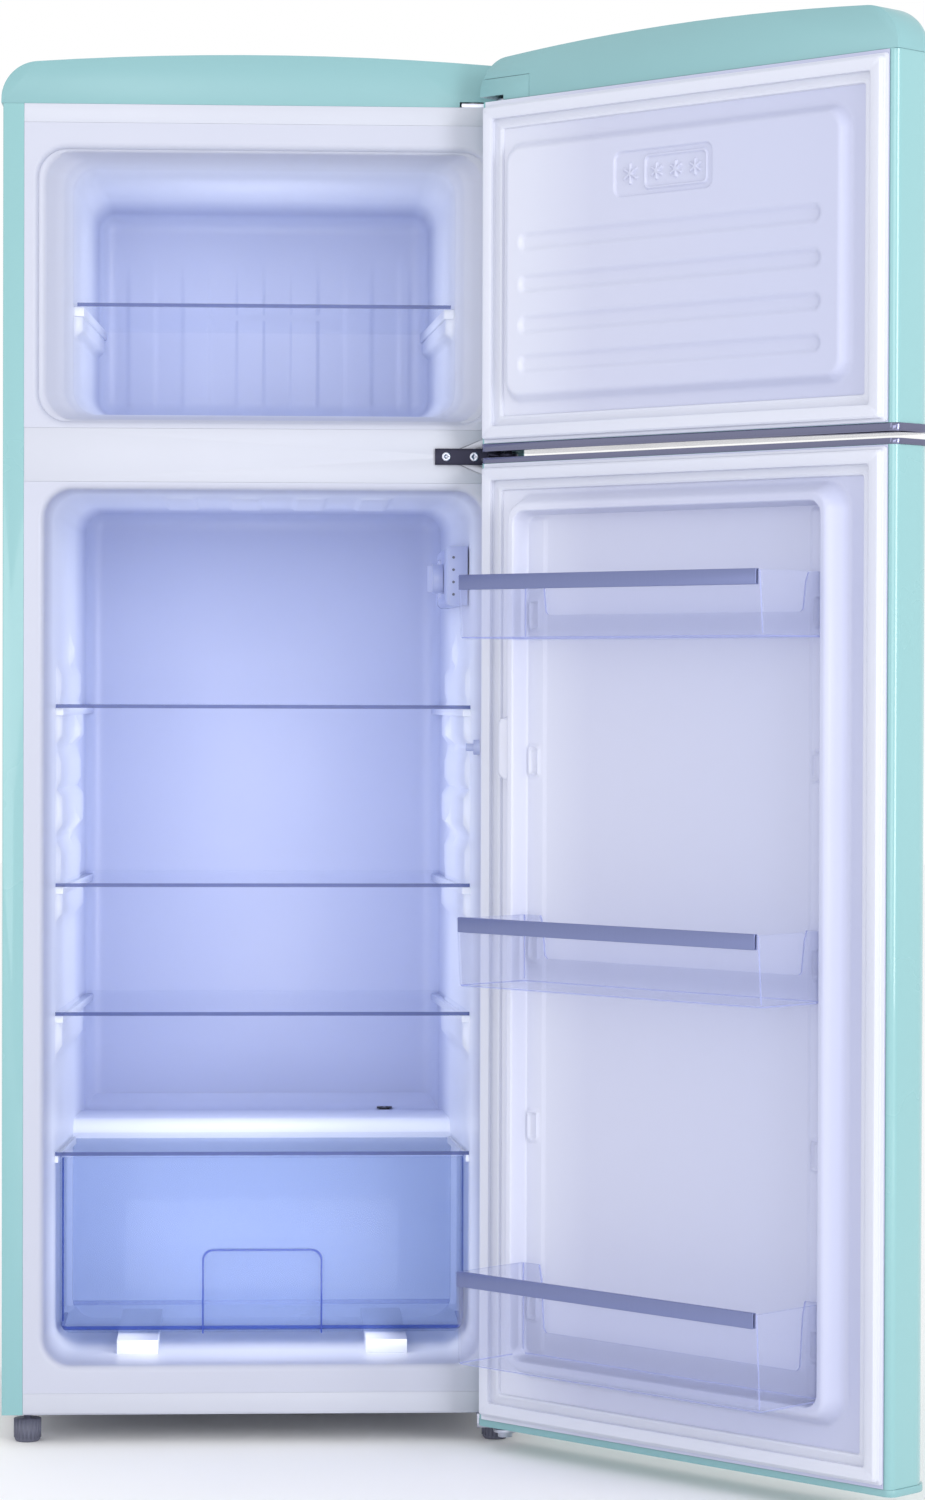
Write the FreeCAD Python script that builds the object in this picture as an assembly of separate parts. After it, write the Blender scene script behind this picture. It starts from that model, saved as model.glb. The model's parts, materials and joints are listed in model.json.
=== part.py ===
import FreeCAD, Part
import math
import os

# Top freezer refrigerator. Millimetres, +Z up. The origin is on the floor, on the centre line,
# under the plane of the cabinet's front face; +Y runs into the cabinet. The doors stand open.

Vec = FreeCAD.Vector
os.makedirs("parts", exist_ok=True)

# ---------------------------------------------------------------- driving dimensions
BODY_W = 546.0           # over the side panels
DOOR_W = 548.0
CAP_W = 550.0            # over the top cap's sides
BODY_BOTTOM = 30.5
CAP_Z = 1403.8           # seam under the top cap
CAP_SHOULDER = 44.0      # cap height at the start of its rounded corners
CAP_CROWN = 8.5          # arch above the shoulder, at the middle
CAP_R = 40.0             # rounded corners in front view
BACK_Y = 512.0           # outer face of the back panel
SHEET = 1.2              # steel sheet
SKIN = 2.0               # vacuum-formed liners
STRIP = 22.0             # front flange of the side panels

FREEZER_Z = (1072.7, 1357.0)     # opening at the front face
FREEZER_HALF = 236.0
FRIDGE_Z = (82.0, 1001.5)
FRIDGE_HALF = 230.0
SEAM_TOP = 1384.2                # seams across the front face
SEAM_MULLION = (1009.4, 1065.7)
SEAM_BOTTOM = 53.1
MOUTH_R = 30.0                   # corner radius of both openings
MOUTH_FLARE_Y = 70.0             # depth of the freezer's flared mouth
FREEZER_INNER = (203.0, 1084.0, 1346.0)
FREEZER_BACK = (188.0, 1103.0, 1335.0)
FREEZER_DEPTH = 420.0
FRIDGE_BACK = (203.0, 88.0, 994.0)
FRIDGE_DEPTH = 435.0
BENCH_Y = 300.0                  # step over the compressor
BENCH_Z = 310.0
NICHE_Y = 345.0                  # front wall and ceiling of the compressor's niche
NICHE_Z = 262.0
DRAIN = (141.0, 418.0)           # defrost drain in plan
DRAIN_R = 6.0
DRAIN_END_Z = 204.0

HINGE_X = 254.0
HINGE_Y = -35.0
OPEN_DEG = 133.0                 # how far both doors stand open
GAP = 12.0                       # cabinet face to the doors' inner plane
DOOR_T = 62.0
DOOR_R_OUT = 24.0
DOOR_R_IN = 8.0
FREEZER_DOOR_Z = (1048.7, 1403.8)
FRIDGE_DOOR_Z = (31.0, 1028.4)
DOOR_FOOT_Z = 24.1               # underside of the bottom strip
TRIM_GAP_Z = (1034.2, 1040.8)    # free space between the two doors' trims
PLATE_INSET = 8.0                # door liner from the door's edges
DYKE_H = 30.0
DYKE_U = (46.0, 72.0)            # side dykes of the fridge door liner, from the door's edge
DYKE_Z = (104.0, 980.0)
PLATEAU_Z = ((58.0, 96.0), (986.0, 1003.0))   # low steps across the liner, beyond the dykes
PLATEAU_H = 8.0
FREEZER_PANEL_H = 11.0
FREEZER_PANEL_U = 37.0
FREEZER_PANEL_Z = (1090.0, 1356.0)

SHELF_FRONT = 105.0
SHELF_BACK = 425.0
SHELF_T = 4.0
SHELF_Z = {"upper": 772.0, "middle": 580.0, "lower": 441.5}
FREEZER_SHELF = (78.0, 402.0, 1199.5)     # front, back and underside
FREEZER_SHELF_HALF = (199.0, 186.0)       # front and back
REST_H = 8.0                     # height of the ledges under the shelves
CRISPER_COVER_Z = 291.0
CRISPER_Z = (98.0, 289.0)
CRISPER_HALF = (218.0, 206.0)    # front and back
CRISPER_T = 2.5
CRISPER_R = 16.0
GRIP_X = 63.0                    # half width of the recess in the drawer's front
GRIP_Z = (104.0, 188.0)
GRIP_DEEP = 22.0
SKID_X = (111.0, 155.0)          # floor skids under the drawer
SKID_Y = 70.0
BIN_Z = {"top": (844.0, 908.0), "middle": (492.0, 562.0), "bottom": (108.0, 203.0)}
BIN_U = (73.5, 474.5)
BIN_V = (8.0, 110.0)
BIN_T = 2.4
BIN_LOW_BACK = 26.0              # height of a bin's low back wall
KNOB = (184.0, 178.0, 914.0)     # outer face of the thermostat's knob, axis along X
KNOB_R = 16.0
HOUSING_X = 196.0                # face of the thermostat's housing
HOUSING_Y = (128.0, 330.0)
HOUSING_Z = (884.0, 948.0)
LAMP = (201.5, 916.0)            # lamp axis, along Y
SWITCH = (216.0, 31.0, 732.0)    # tip of the light switch's plunger, axis along X
SWITCH_R = 4.0
SOCKET_R = 8.0
HANDLE_U = 480.0                 # handles, from the doors' hinge edge
HANDLE_OUT = (33.0, 45.0)        # back and front of the bow, out from the door
HANDLE_HALF = 9.0
FREEZER_HANDLE_Z = (1078.0, 1268.0)
FRIDGE_HANDLE_Z = (800.0, 990.0)
FOOT_X = 247.0
FOOT_Y = 23.0
FOOT_R = 14.5
FOOT_TOP = 24.0
STUD_R = 4.0
REAR_FOOT = (235.0, 470.0)
COMP = (0.0, 432.0)              # compressor axis in plan
COMP_R = 62.0
COMP_TOP = 190.0
COMP_FEET = (82.0, 32.0)         # grommets, from the compressor's axis
GROMMET_H = 14.2
TRAY_Z = (190.2, 214.0)          # the evaporating tray stands on the compressor
TRAY_X = (-78.0, 168.0)
TRAY_HALF = 55.0
COIL_R = 2.4                     # condenser tube
COIL_PITCH = 52.0
COIL_HALF = 205.0
COIL_LOW = 300.0
COIL_ROWS = 19
COIL_STAND_OFF = 14.0
WIRE_R = 0.9
WIRE_PITCH = 33
GLAND = (-235.0, 34.0)           # cord gland, axis along Y

PIN_R = 4.0
BUSH_R = 4.05
ARM_HALF = 12.0
PLATE_X = (179.0, 249.0)
MID_Z = 1037.5
SCREW_X = (190.6, 220.0)
TOP_ARM_Z = (CAP_Z + 1.2, CAP_Z + 4.4)
TOP_SCREW_Y = (12.0, 30.0)
LOW_ARM_Z = (17.0, 20.2)
LEG_Y = (-6.0, -2.8)

FRONT_Y = -GAP
OUTER_Y = -GAP - DOOR_T
DOOR_HALF = DOOR_W / 2
BODY_HALF = BODY_W / 2
CRISPER_Y = (SHELF_FRONT + 1, BENCH_Y - 6)


# ---------------------------------------------------------------- helpers
def box(x, y, z):
    """A block from three (low, high) pairs."""
    return Part.makeBox(x[1] - x[0], y[1] - y[0], z[1] - z[0], Vec(x[0], y[0], z[0]))


def rod(start, direction, radius, length):
    return Part.makeCylinder(radius, length, Vec(*start), Vec(*direction))


def fused(shapes):
    first, rest = shapes[0], shapes[1:]
    return first.multiFuse(rest).removeSplitter() if rest else first


def loose(shapes):
    """Several separate solids kept together in one node."""
    return Part.makeCompound(shapes)


def open_door(shape):
    """Turn a door piece, drawn closed, about the hinge pins to where it stands."""
    turned = shape.copy()
    turned.rotate(Vec(HINGE_X, HINGE_Y, 0), Vec(0, 0, 1), OPEN_DEG)
    return turned


def rounded_wire(x, z, y, radius):
    """A rounded rectangle in a plane of constant y."""
    (x0, x1), (z0, z1) = x, z
    d = radius * (1 - math.sqrt(0.5))
    corners = [
        ((x0, z0 + radius), (x0 + d, z0 + d), (x0 + radius, z0)),
        ((x1 - radius, z0), (x1 - d, z0 + d), (x1, z0 + radius)),
        ((x1, z1 - radius), (x1 - d, z1 - d), (x1 - radius, z1)),
        ((x0 + radius, z1), (x0 + d, z1 - d), (x0, z1 - radius)),
    ]
    edges = []
    for i, corner in enumerate(corners):
        start, middle, end = [Vec(px, y, pz) for px, pz in corner]
        after = corners[(i + 1) % 4][0]
        edges.append(Part.Arc(start, middle, end).toShape())
        edges.append(Part.makeLine(end, Vec(after[0], y, after[1])))
    return Part.Wire(edges)


def tub(sections, grow=0.0):
    """A cavity lofted through (y, half width, low z, high z, corner radius) sections."""
    solids = []
    for near, far in zip(sections, sections[1:]):
        wires = []
        for y, half, low, high, radius in (near, far):
            edge = half + grow
            wires.append(rounded_wire((-edge, edge), (low - grow, high + grow), y, radius + grow))
        solids.append(Part.makeLoft(wires, True, True))
    return fused(solids)


def wedge_solid(near, far):
    """A block between two (x pair, y, z pair) rectangles."""
    wires = []
    for (x0, x1), y, (z0, z1) in (near, far):
        corners = [Vec(x0, y, z0), Vec(x1, y, z0), Vec(x1, y, z1), Vec(x0, y, z1), Vec(x0, y, z0)]
        wires.append(Part.makePolygon(corners))
    return Part.makeLoft(wires, True, True)


def corner_prism(x, z, toward_x, toward_z, size, depth):
    """The filler behind a rounded corner: a triangle at each end, (near, far) values."""
    wires = []
    for i in (0, 1):
        c = Vec(x[i], depth[i], z[i])
        a = c + Vec(toward_x * size, 0, 0)
        b = c + Vec(0, 0, toward_z * size)
        wires.append(Part.makePolygon([c, a, b, c]))
    return Part.makeLoft(wires, True, True)


def cap_profile(y, inset=0.0):
    """Front view outline of the arched top cap: a shallow arc that runs into two tight corners."""
    centre = Vec(CAP_W / 2 - CAP_R, 0, CAP_Z + CAP_SHOULDER - CAP_R)
    rise = CAP_CROWN + CAP_R
    big = (centre.x ** 2 + rise ** 2 - CAP_R ** 2) / (2 * CAP_CROWN)
    lean = math.atan2(centre.x, big - rise)
    radius = CAP_R - inset

    def on_corner(side, angle):
        """A point of a corner arc, its angle measured from straight up."""
        x = centre.x + radius * math.sin(angle)
        return Vec(side * x, y, centre.z + radius * math.cos(angle))

    side_angle = math.pi / 2
    mid_angle = (lean + side_angle) / 2
    crown = Vec(0, y, centre.z + rise - inset)
    low = [Vec(side * (CAP_W / 2 - inset), y, CAP_Z) for side in (-1, 1)]
    ends = [on_corner(side, side_angle) for side in (-1, 1)]
    edges = [
        Part.Arc(ends[0], on_corner(-1, mid_angle), on_corner(-1, lean)).toShape(),
        Part.Arc(on_corner(-1, lean), crown, on_corner(1, lean)).toShape(),
        Part.Arc(on_corner(1, lean), on_corner(1, mid_angle), ends[1]).toShape(),
        Part.makeLine(ends[1], low[1]),
        Part.makeLine(low[1], low[0]),
        Part.makeLine(low[0], ends[0]),
    ]
    return Part.Face(Part.Wire(edges))


def door_profile(z, inset=0.0):
    """Plan outline of a closed door: rounded outer edges, tighter inner ones."""
    x0, x1 = -DOOR_HALF + inset, DOOR_HALF - inset
    y0, y1 = OUTER_Y + inset, FRONT_Y - inset
    ro, ri = DOOR_R_OUT - inset, DOOR_R_IN - inset
    do, di = ro * (1 - math.sqrt(0.5)), ri * (1 - math.sqrt(0.5))
    corners = [
        ((x0, y0 + ro), (x0 + do, y0 + do), (x0 + ro, y0)),
        ((x1 - ro, y0), (x1 - do, y0 + do), (x1, y0 + ro)),
        ((x1, y1 - ri), (x1 - di, y1 - di), (x1 - ri, y1)),
        ((x0 + ri, y1), (x0 + di, y1 - di), (x0, y1 - ri)),
    ]
    edges = []
    for i, corner in enumerate(corners):
        start, middle, end = [Vec(px, py, z) for px, py in corner]
        after = corners[(i + 1) % 4][0]
        edges.append(Part.Arc(start, middle, end).toShape())
        edges.append(Part.makeLine(end, Vec(after[0], after[1], z)))
    return Part.Face(Part.Wire(edges))


def door_block(z, inset=0.0):
    return door_profile(z[0], inset).extrude(Vec(0, 0, z[1] - z[0]))


def door_x(u):
    """Closed x of a point u in from the door's hinge edge."""
    return DOOR_HALF - u


nodes = {}


# ---------------------------------------------------------------- cabinet shell
def side_panel(side):
    """One side sheet with its front and back flanges, folded inwards."""
    outer = BODY_HALF
    inner = BODY_HALF - SHEET
    z = (BODY_BOTTOM, CAP_Z)
    sheet = box((inner, outer), (0, BACK_Y), z)
    front = box((BODY_HALF - STRIP, outer), (0, SHEET), z)
    back = box((BODY_HALF - STRIP, outer), (BACK_Y - SHEET, BACK_Y), z)
    shape = fused([sheet, front, back])
    edge = [e for e in shape.Edges if e.BoundBox.ZLength > 100
            and abs(e.BoundBox.XMin - outer) < 0.01 and abs(e.BoundBox.YMin) < 0.01]
    shape = shape.makeFillet(SHEET * 0.9, edge)
    return shape if side > 0 else shape.mirror(Vec(0, 0, 0), Vec(1, 0, 0))


def top_cap():
    """Arched moulding over the whole cabinet, hollow underneath."""
    wall = 2.5
    outer = cap_profile(0).extrude(Vec(0, BACK_Y, 0))
    inner = cap_profile(wall, wall).extrude(Vec(0, BACK_Y - 2 * wall, 0))
    notch = box((204, HINGE_X + ARM_HALF + 1), (-1, wall + 1), (CAP_Z - 1, CAP_Z + 5.5))
    return outer.cut(inner).cut(notch)


def back_panel():
    inner = BODY_HALF - STRIP
    return box((-inner, inner), (BACK_Y - SHEET, BACK_Y), (NICHE_Z, CAP_Z))


def base_tray():
    """Steel floor under the insulation, in front of the compressor niche, and the niche's rail."""
    inner = BODY_HALF - SHEET
    floor = box((-inner, inner), (SHEET, NICHE_Y), (BODY_BOTTOM, BODY_BOTTOM + 1.5))
    lip = box((-inner, inner), (NICHE_Y, NICHE_Y + 1.5), (BODY_BOTTOM, BODY_BOTTOM + 12))
    shape = fused([floor, lip])
    for side in (-1, 1):
        shape = shape.cut(rod((side * FOOT_X, FOOT_Y, BODY_BOTTOM - 1), (0, 0, 1), 4.05, 4))
    return shape


def compressor_rail():
    inner = BODY_HALF - SHEET
    plate = box((-inner, inner), (375, 490), (BODY_BOTTOM, BODY_BOTTOM + 2.5))
    ribs = [box((-inner, inner), (y, y + 2.5), (BODY_BOTTOM, BODY_BOTTOM + 16)) for y in (375, 487.5)]
    return fused([plate] + ribs)


nodes["left_side_panel"] = side_panel(-1)
nodes["right_side_panel"] = side_panel(1)
nodes["top_cap"] = top_cap()
nodes["back_panel"] = back_panel()
nodes["base_steel"] = loose([base_tray(), compressor_rail()])

# ---------------------------------------------------------------- liners and front face
FREEZER_SECTIONS = [
    (0.0, FREEZER_HALF, FREEZER_Z[0], FREEZER_Z[1], MOUTH_R),
    (MOUTH_FLARE_Y, FREEZER_INNER[0], FREEZER_INNER[1], FREEZER_INNER[2], 26.0),
    (FREEZER_DEPTH, FREEZER_BACK[0], FREEZER_BACK[1], FREEZER_BACK[2], 22.0),
]
FRIDGE_SECTIONS = [
    (0.0, FRIDGE_HALF, FRIDGE_Z[0], FRIDGE_Z[1], MOUTH_R),
    (FRIDGE_DEPTH, FRIDGE_BACK[0], FRIDGE_BACK[1], FRIDGE_BACK[2], 24.0),
]
FACE_HALF = BODY_HALF - STRIP


def deeper(sections, extra):
    """The same sections carried on past the back wall by extra."""
    last = sections[-1]
    return sections + [(last[0] + extra,) + last[1:]]


def bench_block(grow=0.0):
    """The step at the bottom of the fridge's back, which leaves room for the compressor."""
    wide = FRIDGE_HALF + 20
    return box((-wide, wide), (BENCH_Y + grow, FRIDGE_DEPTH + 40), (0, BENCH_Z - grow))


def freezer_liner():
    flange = box((-FACE_HALF, FACE_HALF), (0, SKIN), (SEAM_MULLION[1], SEAM_TOP))
    shell = tub(deeper(FREEZER_SECTIONS, SKIN), SKIN)
    return fused([flange, shell]).cut(tub(FREEZER_SECTIONS))


def fridge_liner():
    flange = box((-FACE_HALF, FACE_HALF), (0, SKIN), (SEAM_BOTTOM, SEAM_MULLION[0]))
    shell = tub(deeper(FRIDGE_SECTIONS, SKIN), SKIN).cut(bench_block(SKIN))
    cavity = tub(FRIDGE_SECTIONS).cut(bench_block())
    liner = fused([flange, shell]).cut(cavity)
    return liner.cut(rod((DRAIN[0], DRAIN[1], BENCH_Z - 6), (0, 0, 1), DRAIN_R + 0.2, 12))


nodes["freezer_liner"] = freezer_liner()
nodes["fridge_liner"] = fridge_liner()
nodes["mullion_cover"] = box((-FACE_HALF, FACE_HALF), (0, SKIN), SEAM_MULLION)
nodes["front_rails"] = loose([
    box((-FACE_HALF, FACE_HALF), (0, SKIN), (SEAM_TOP, CAP_Z)),
    box((-FACE_HALF, FACE_HALF), (0, SKIN), (BODY_BOTTOM + 1.5, SEAM_BOTTOM)),
])


# ---------------------------------------------------------------- insulation
def ring(sections, outer_z, low_corners=True):
    """Foam round one cavity: four slabs and four corner fillers between each pair of sections."""
    side = BODY_HALF - SHEET
    solids = []
    for near, far in zip(sections, sections[1:]):
        a, b = [s[1] + SKIN for s in (near, far)]
        low = [s[2] - SKIN for s in (near, far)]
        high = [s[3] + SKIN for s in (near, far)]
        y = [s[0] for s in (near, far)]
        y[0] = max(y[0], SKIN)
        for lo_x, hi_x in (((-side, -a), (-side, -b)), ((a, side), (b, side))):
            solids.append(wedge_solid((lo_x, y[0], (low[0], high[0])), (hi_x, y[1], (low[1], high[1]))))
        full = (-side, side)
        solids.append(wedge_solid((full, y[0], (high[0], outer_z[1])), (full, y[1], (high[1], outer_z[1]))))
        solids.append(wedge_solid((full, y[0], (outer_z[0], low[0])), (full, y[1], (outer_z[0], low[1]))))
        size = (min(near[4], far[4]) + SKIN) * (2 - math.sqrt(2))
        for sx in (-1, 1):
            solids.append(corner_prism((sx * a, sx * b), high, -sx, -1, size, y))
            if low_corners:
                solids.append(corner_prism((sx * a, sx * b), low, -sx, 1, size, y))
    return solids


def insulation():
    """Polyurethane foam as slabs: round the freezer, round the fridge, behind both, and the bench."""
    middle = (FRIDGE_Z[1] + FREEZER_Z[0]) / 2
    base = BODY_BOTTOM + 1.5
    side = BODY_HALF - SHEET
    back = BACK_Y - SHEET
    solids = ring(FREEZER_SECTIONS, (middle, CAP_Z))
    solids.append(box((-side, side), (FREEZER_DEPTH + SKIN, back), (middle, CAP_Z)))
    front, rear = FRIDGE_SECTIONS
    cut_y = BENCH_Y + SKIN
    t = cut_y / FRIDGE_DEPTH
    at_bench = (cut_y,) + tuple(p + (q - p) * t for p, q in zip(front[1:], rear[1:]))
    solids += ring([front, at_bench], (base, middle))
    over_bench = [section[:2] + (BENCH_Z,) + section[3:] for section in (at_bench, rear)]
    solids += ring(over_bench, (NICHE_Z, middle), low_corners=False)
    solids.append(box((-side, side), (cut_y, NICHE_Y), (base, NICHE_Z)))
    solids.append(box((-side, side), (FRIDGE_DEPTH + SKIN, back), (NICHE_Z, middle)))
    drain = rod((DRAIN[0], DRAIN[1], NICHE_Z - 5), (0, 0, 1), DRAIN_R + 0.2, BENCH_Z - NICHE_Z + 10)
    return loose([s.cut(drain) if s.distToShape(drain)[0] < 0.01 else s for s in solids])


nodes["insulation"] = insulation()


def drain_tube():
    """Defrost water drain: a funnel lip on the bench and a tube down to the tray."""
    length = BENCH_Z - DRAIN_END_Z
    tube = rod((DRAIN[0], DRAIN[1], DRAIN_END_Z), (0, 0, 1), DRAIN_R, length)
    lip = rod((DRAIN[0], DRAIN[1], BENCH_Z), (0, 0, 1), DRAIN_R + 3, 1.2)
    bore = rod((DRAIN[0], DRAIN[1], DRAIN_END_Z - 1), (0, 0, 1), DRAIN_R - 1.5, length + 10)
    return fused([tube, lip]).cut(bore)


nodes["drain_tube"] = drain_tube()

# ---------------------------------------------------------------- refrigeration machinery
COMP_FOOT_Z = BODY_BOTTOM + 2.5


def comp_feet():
    """The four points where the compressor stands on its grommets."""
    return [(COMP[0] + sx * COMP_FEET[0], COMP[1] + sy * COMP_FEET[1])
            for sx in (-1, 1) for sy in (-1, 1)]


def compressor():
    """Welded two-part steel shell with its foot plate."""
    low = COMP_FOOT_Z + GROMMET_H - 0.2
    dome_low, dome_top = low + 20, COMP_TOP - 30
    core = rod((COMP[0], COMP[1], dome_low), (0, 0, 1), COMP_R, dome_top - dome_low)
    dome = Part.makeSphere(COMP_R, Vec(0, 0, 0))
    flatten = FreeCAD.Matrix()
    flatten.scale(1, 1, 0.5)
    dome = dome.transformGeometry(flatten)
    upper, lower = dome.copy(), dome.copy()
    upper.translate(Vec(COMP[0], COMP[1], dome_top))
    lower.translate(Vec(COMP[0], COMP[1], dome_low))
    seam = rod((COMP[0], COMP[1], (low + COMP_TOP) / 2), (0, 0, 1), COMP_R + 2.5, 5)
    half_x, half_y = COMP_FEET[0] + 10, COMP_FEET[1] + 10
    plate = box((COMP[0] - half_x, COMP[0] + half_x), (COMP[1] - half_y, COMP[1] + half_y),
                (low + 0.2, low + 3))
    for x, y in comp_feet():
        plate = plate.cut(rod((x, y, low - 5), (0, 0, 1), 6.2, 20))
    shell = fused([core, upper, lower, seam, plate])
    return shell.cut(box((-80, 80), (COMP[1] - 80, COMP[1] + 80), TRAY_Z))


def compressor_grommets():
    solids = []
    for x, y in comp_feet():
        cushion = rod((x, y, COMP_FOOT_Z), (0, 0, 1), 10, GROMMET_H)
        neck = rod((x, y, COMP_FOOT_Z), (0, 0, 1), 6, GROMMET_H + 5.8)
        solids.append(fused([cushion, neck]))
    return loose(solids)


def evaporating_tray():
    """Shallow tray on top of the compressor that catches the defrost water."""
    wall = 2.0
    y = (COMP[1] - TRAY_HALF, COMP[1] + TRAY_HALF)
    outer = box(TRAY_X, y, TRAY_Z)
    inner = box((TRAY_X[0] + wall, TRAY_X[1] - wall), (y[0] + wall, y[1] - wall),
                (TRAY_Z[0] + wall, TRAY_Z[1] + 1))
    return outer.cut(inner)


def condenser():
    """Serpentine tube with cross wires, standing off the back panel."""
    y = BACK_Y + COIL_STAND_OFF
    levels = [COIL_LOW + i * COIL_PITCH for i in range(COIL_ROWS)]
    solids = [rod((-COIL_HALF, y, z), (1, 0, 0), COIL_R, 2 * COIL_HALF) for z in levels]
    for i, z in enumerate(levels[:-1]):
        side = 1 if i % 2 == 0 else -1
        at = Vec(side * COIL_HALF, y, z + COIL_PITCH / 2)
        bend = Part.makeTorus(COIL_PITCH / 2, COIL_R, at, Vec(0, 1, 0))
        outside = sorted((side * COIL_HALF, side * (COIL_HALF + 60)))
        keep = box(outside, (y - 5, y + 5), (z - 5, z + COIL_PITCH + 5))
        solids.append(bend.common(keep))
    wires = [rod((x, y + COIL_R + 0.5, COIL_LOW - 15), (0, 0, 1), WIRE_R, COIL_ROWS * COIL_PITCH - 22)
             for x in range(-198, 199, WIRE_PITCH)]
    return fused(solids + wires)


def condenser_clips():
    """Plastic stand-offs that hold the condenser to the back panel."""
    half = 9.0
    solids = []
    for x in (-COIL_HALF - 10, COIL_HALF + 10):
        for z in (340, 800, 1210):
            solids.append(box((x - half, x + half), (BACK_Y, BACK_Y + 20), (z - half, z + half)))
    grid = nodes["condenser"]
    return loose([s.cut(grid) for s in solids])


def cord_gland():
    """Flanged grommet where the mains lead would enter the niche."""
    x, z = GLAND
    body = rod((x, 491, z), (0, 1, 0), 8, 16)
    flange = rod((x, 500, z), (0, 1, 0), 11, 3)
    bore = rod((x, 480, z), (0, 1, 0), 3.5, 40)
    above_rail = box((-300, 300), (400, 600), (BODY_BOTTOM + 2.5, BODY_BOTTOM + 30))
    return fused([body, flange]).cut(bore).common(above_rail)


nodes["compressor"] = compressor()
nodes["compressor_grommets"] = compressor_grommets()
nodes["evaporating_tray"] = evaporating_tray()
nodes["condenser"] = condenser()
nodes["condenser_clips"] = condenser_clips()
nodes["cord_gland"] = cord_gland()


# ---------------------------------------------------------------- feet
def front_foot(side):
    """Ribbed levelling foot: a knob that turns with its threaded stud."""
    x = side * FOOT_X
    rib_r, ribs = 1.2, 20
    rib_at = FOOT_R - rib_r
    knob = rod((x, FOOT_Y, 2), (0, 0, 1), FOOT_R - 1, FOOT_TOP - 2)
    sole = Part.makeCone(FOOT_R - 3, FOOT_R - 1, 2, Vec(x, FOOT_Y, 0), Vec(0, 0, 1))
    stud = rod((x, FOOT_Y, FOOT_TOP), (0, 0, 1), STUD_R, 20)
    solids = [knob, sole, stud]
    for i in range(ribs):
        angle = 2 * math.pi * i / ribs
        at = (x + rib_at * math.cos(angle), FOOT_Y + rib_at * math.sin(angle), 4)
        solids.append(rod(at, (0, 0, 1), rib_r, FOOT_TOP - 4))
    return fused(solids)


def rear_feet():
    x, y = REAR_FOOT
    return loose([Part.makeCone(13, 16, BODY_BOTTOM, Vec(side * x, y, 0), Vec(0, 0, 1))
                  for side in (-1, 1)])


nodes["left_front_foot"] = front_foot(-1)
nodes["right_front_foot"] = front_foot(1)
nodes["rear_feet"] = rear_feet()

# the foot studs run into the foam through clearance holes
foam = nodes["insulation"]
stud_holes = [rod((s * FOOT_X, FOOT_Y, BODY_BOTTOM), (0, 0, 1), 5.0, 16) for s in (-1, 1)]
nodes["insulation"] = loose([
    s.cut(stud_holes) if min(s.distToShape(h)[0] for h in stud_holes) < 0.01 else s
    for s in foam.Solids
])


# ---------------------------------------------------------------- hinges
def arm_end(z, half):
    """Rounded end of a hinge arm, on the pin line."""
    return rod((HINGE_X, HINGE_Y, z[0]), (0, 0, 1), half, z[1] - z[0])


def middle_hinge():
    """Plate on the mullion, arm forward to the pin line, one pin up and one down."""
    z = (MID_Z - 1.6, MID_Z + 1.6)
    plate = box(PLATE_X, (-2.6, 0), (MID_Z - 8.5, MID_Z + 8.5))
    arm = box((HINGE_X - 20, HINGE_X + 10), (HINGE_Y, -1), z)
    pin = rod((HINGE_X, HINGE_Y, MID_Z - 24), (0, 0, 1), PIN_R, 48)
    return fused([plate, arm, arm_end(z, 10), pin])


def top_hinge():
    """Bracket on the cabinet's top edge, under the cap, with a pin down into the door."""
    plate = box((206, HINGE_X + ARM_HALF), (2.5, 40), (CAP_Z, TOP_ARM_Z[1]))
    arm = box((HINGE_X - ARM_HALF, HINGE_X + ARM_HALF), (HINGE_Y, 3), TOP_ARM_Z)
    pin = rod((HINGE_X, HINGE_Y, CAP_Z - 16), (0, 0, 1), PIN_R, 20)
    return fused([plate, arm, arm_end(TOP_ARM_Z, ARM_HALF), pin])


def bottom_hinge():
    """Cranked bracket under the cabinet, its pin up into the door and a nut below."""
    x = (HINGE_X - ARM_HALF, HINGE_X + ARM_HALF)
    arm = box(x, (HINGE_Y, LEG_Y[1]), LOW_ARM_Z)
    leg_x = (226, HINGE_X - 5)
    leg = box(leg_x, LEG_Y, (LOW_ARM_Z[0], BODY_BOTTOM))
    shelf = fused([
        box(leg_x, (LEG_Y[0], 0), (BODY_BOTTOM - 3.2, BODY_BOTTOM)),
        box((leg_x[0], x[1]), (0, 45), (BODY_BOTTOM - 3.2, BODY_BOTTOM)),
    ])
    heel = box((leg_x[0], x[1]), (LEG_Y[0] - 6, LEG_Y[1]), LOW_ARM_Z)
    shelf = shelf.cut(rod((FOOT_X, FOOT_Y, 20), (0, 0, 1), 4.3, 20))
    pin = rod((HINGE_X, HINGE_Y, 12), (0, 0, 1), PIN_R, 30)
    nut = rod((HINGE_X, HINGE_Y, 12), (0, 0, 1), 7.5, 5)
    return fused([arm, arm_end(LOW_ARM_Z, ARM_HALF), heel, leg, shelf, pin, nut])


def pan_screw():
    """Cross-head screw along +Y, with its seat at the origin."""
    head = rod((0, -2.4, 0), (0, 1, 0), 4.6, 2.4)
    shank = rod((0, 0, 0), (0, 1, 0), 2.0, 12.0)
    slot = box((-2.6, 2.6), (-3, -1.4), (-0.5, 0.5))
    cross = box((-0.5, 0.5), (-3, -1.4), (-2.6, 2.6))
    return fused([head, shank]).cut(slot).cut(cross)


def placed_screw(at, downwards=False):
    screw = pan_screw()
    if downwards:
        screw.rotate(Vec(0, 0, 0), Vec(1, 0, 0), -90)
    screw.translate(Vec(*at))
    return screw


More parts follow.
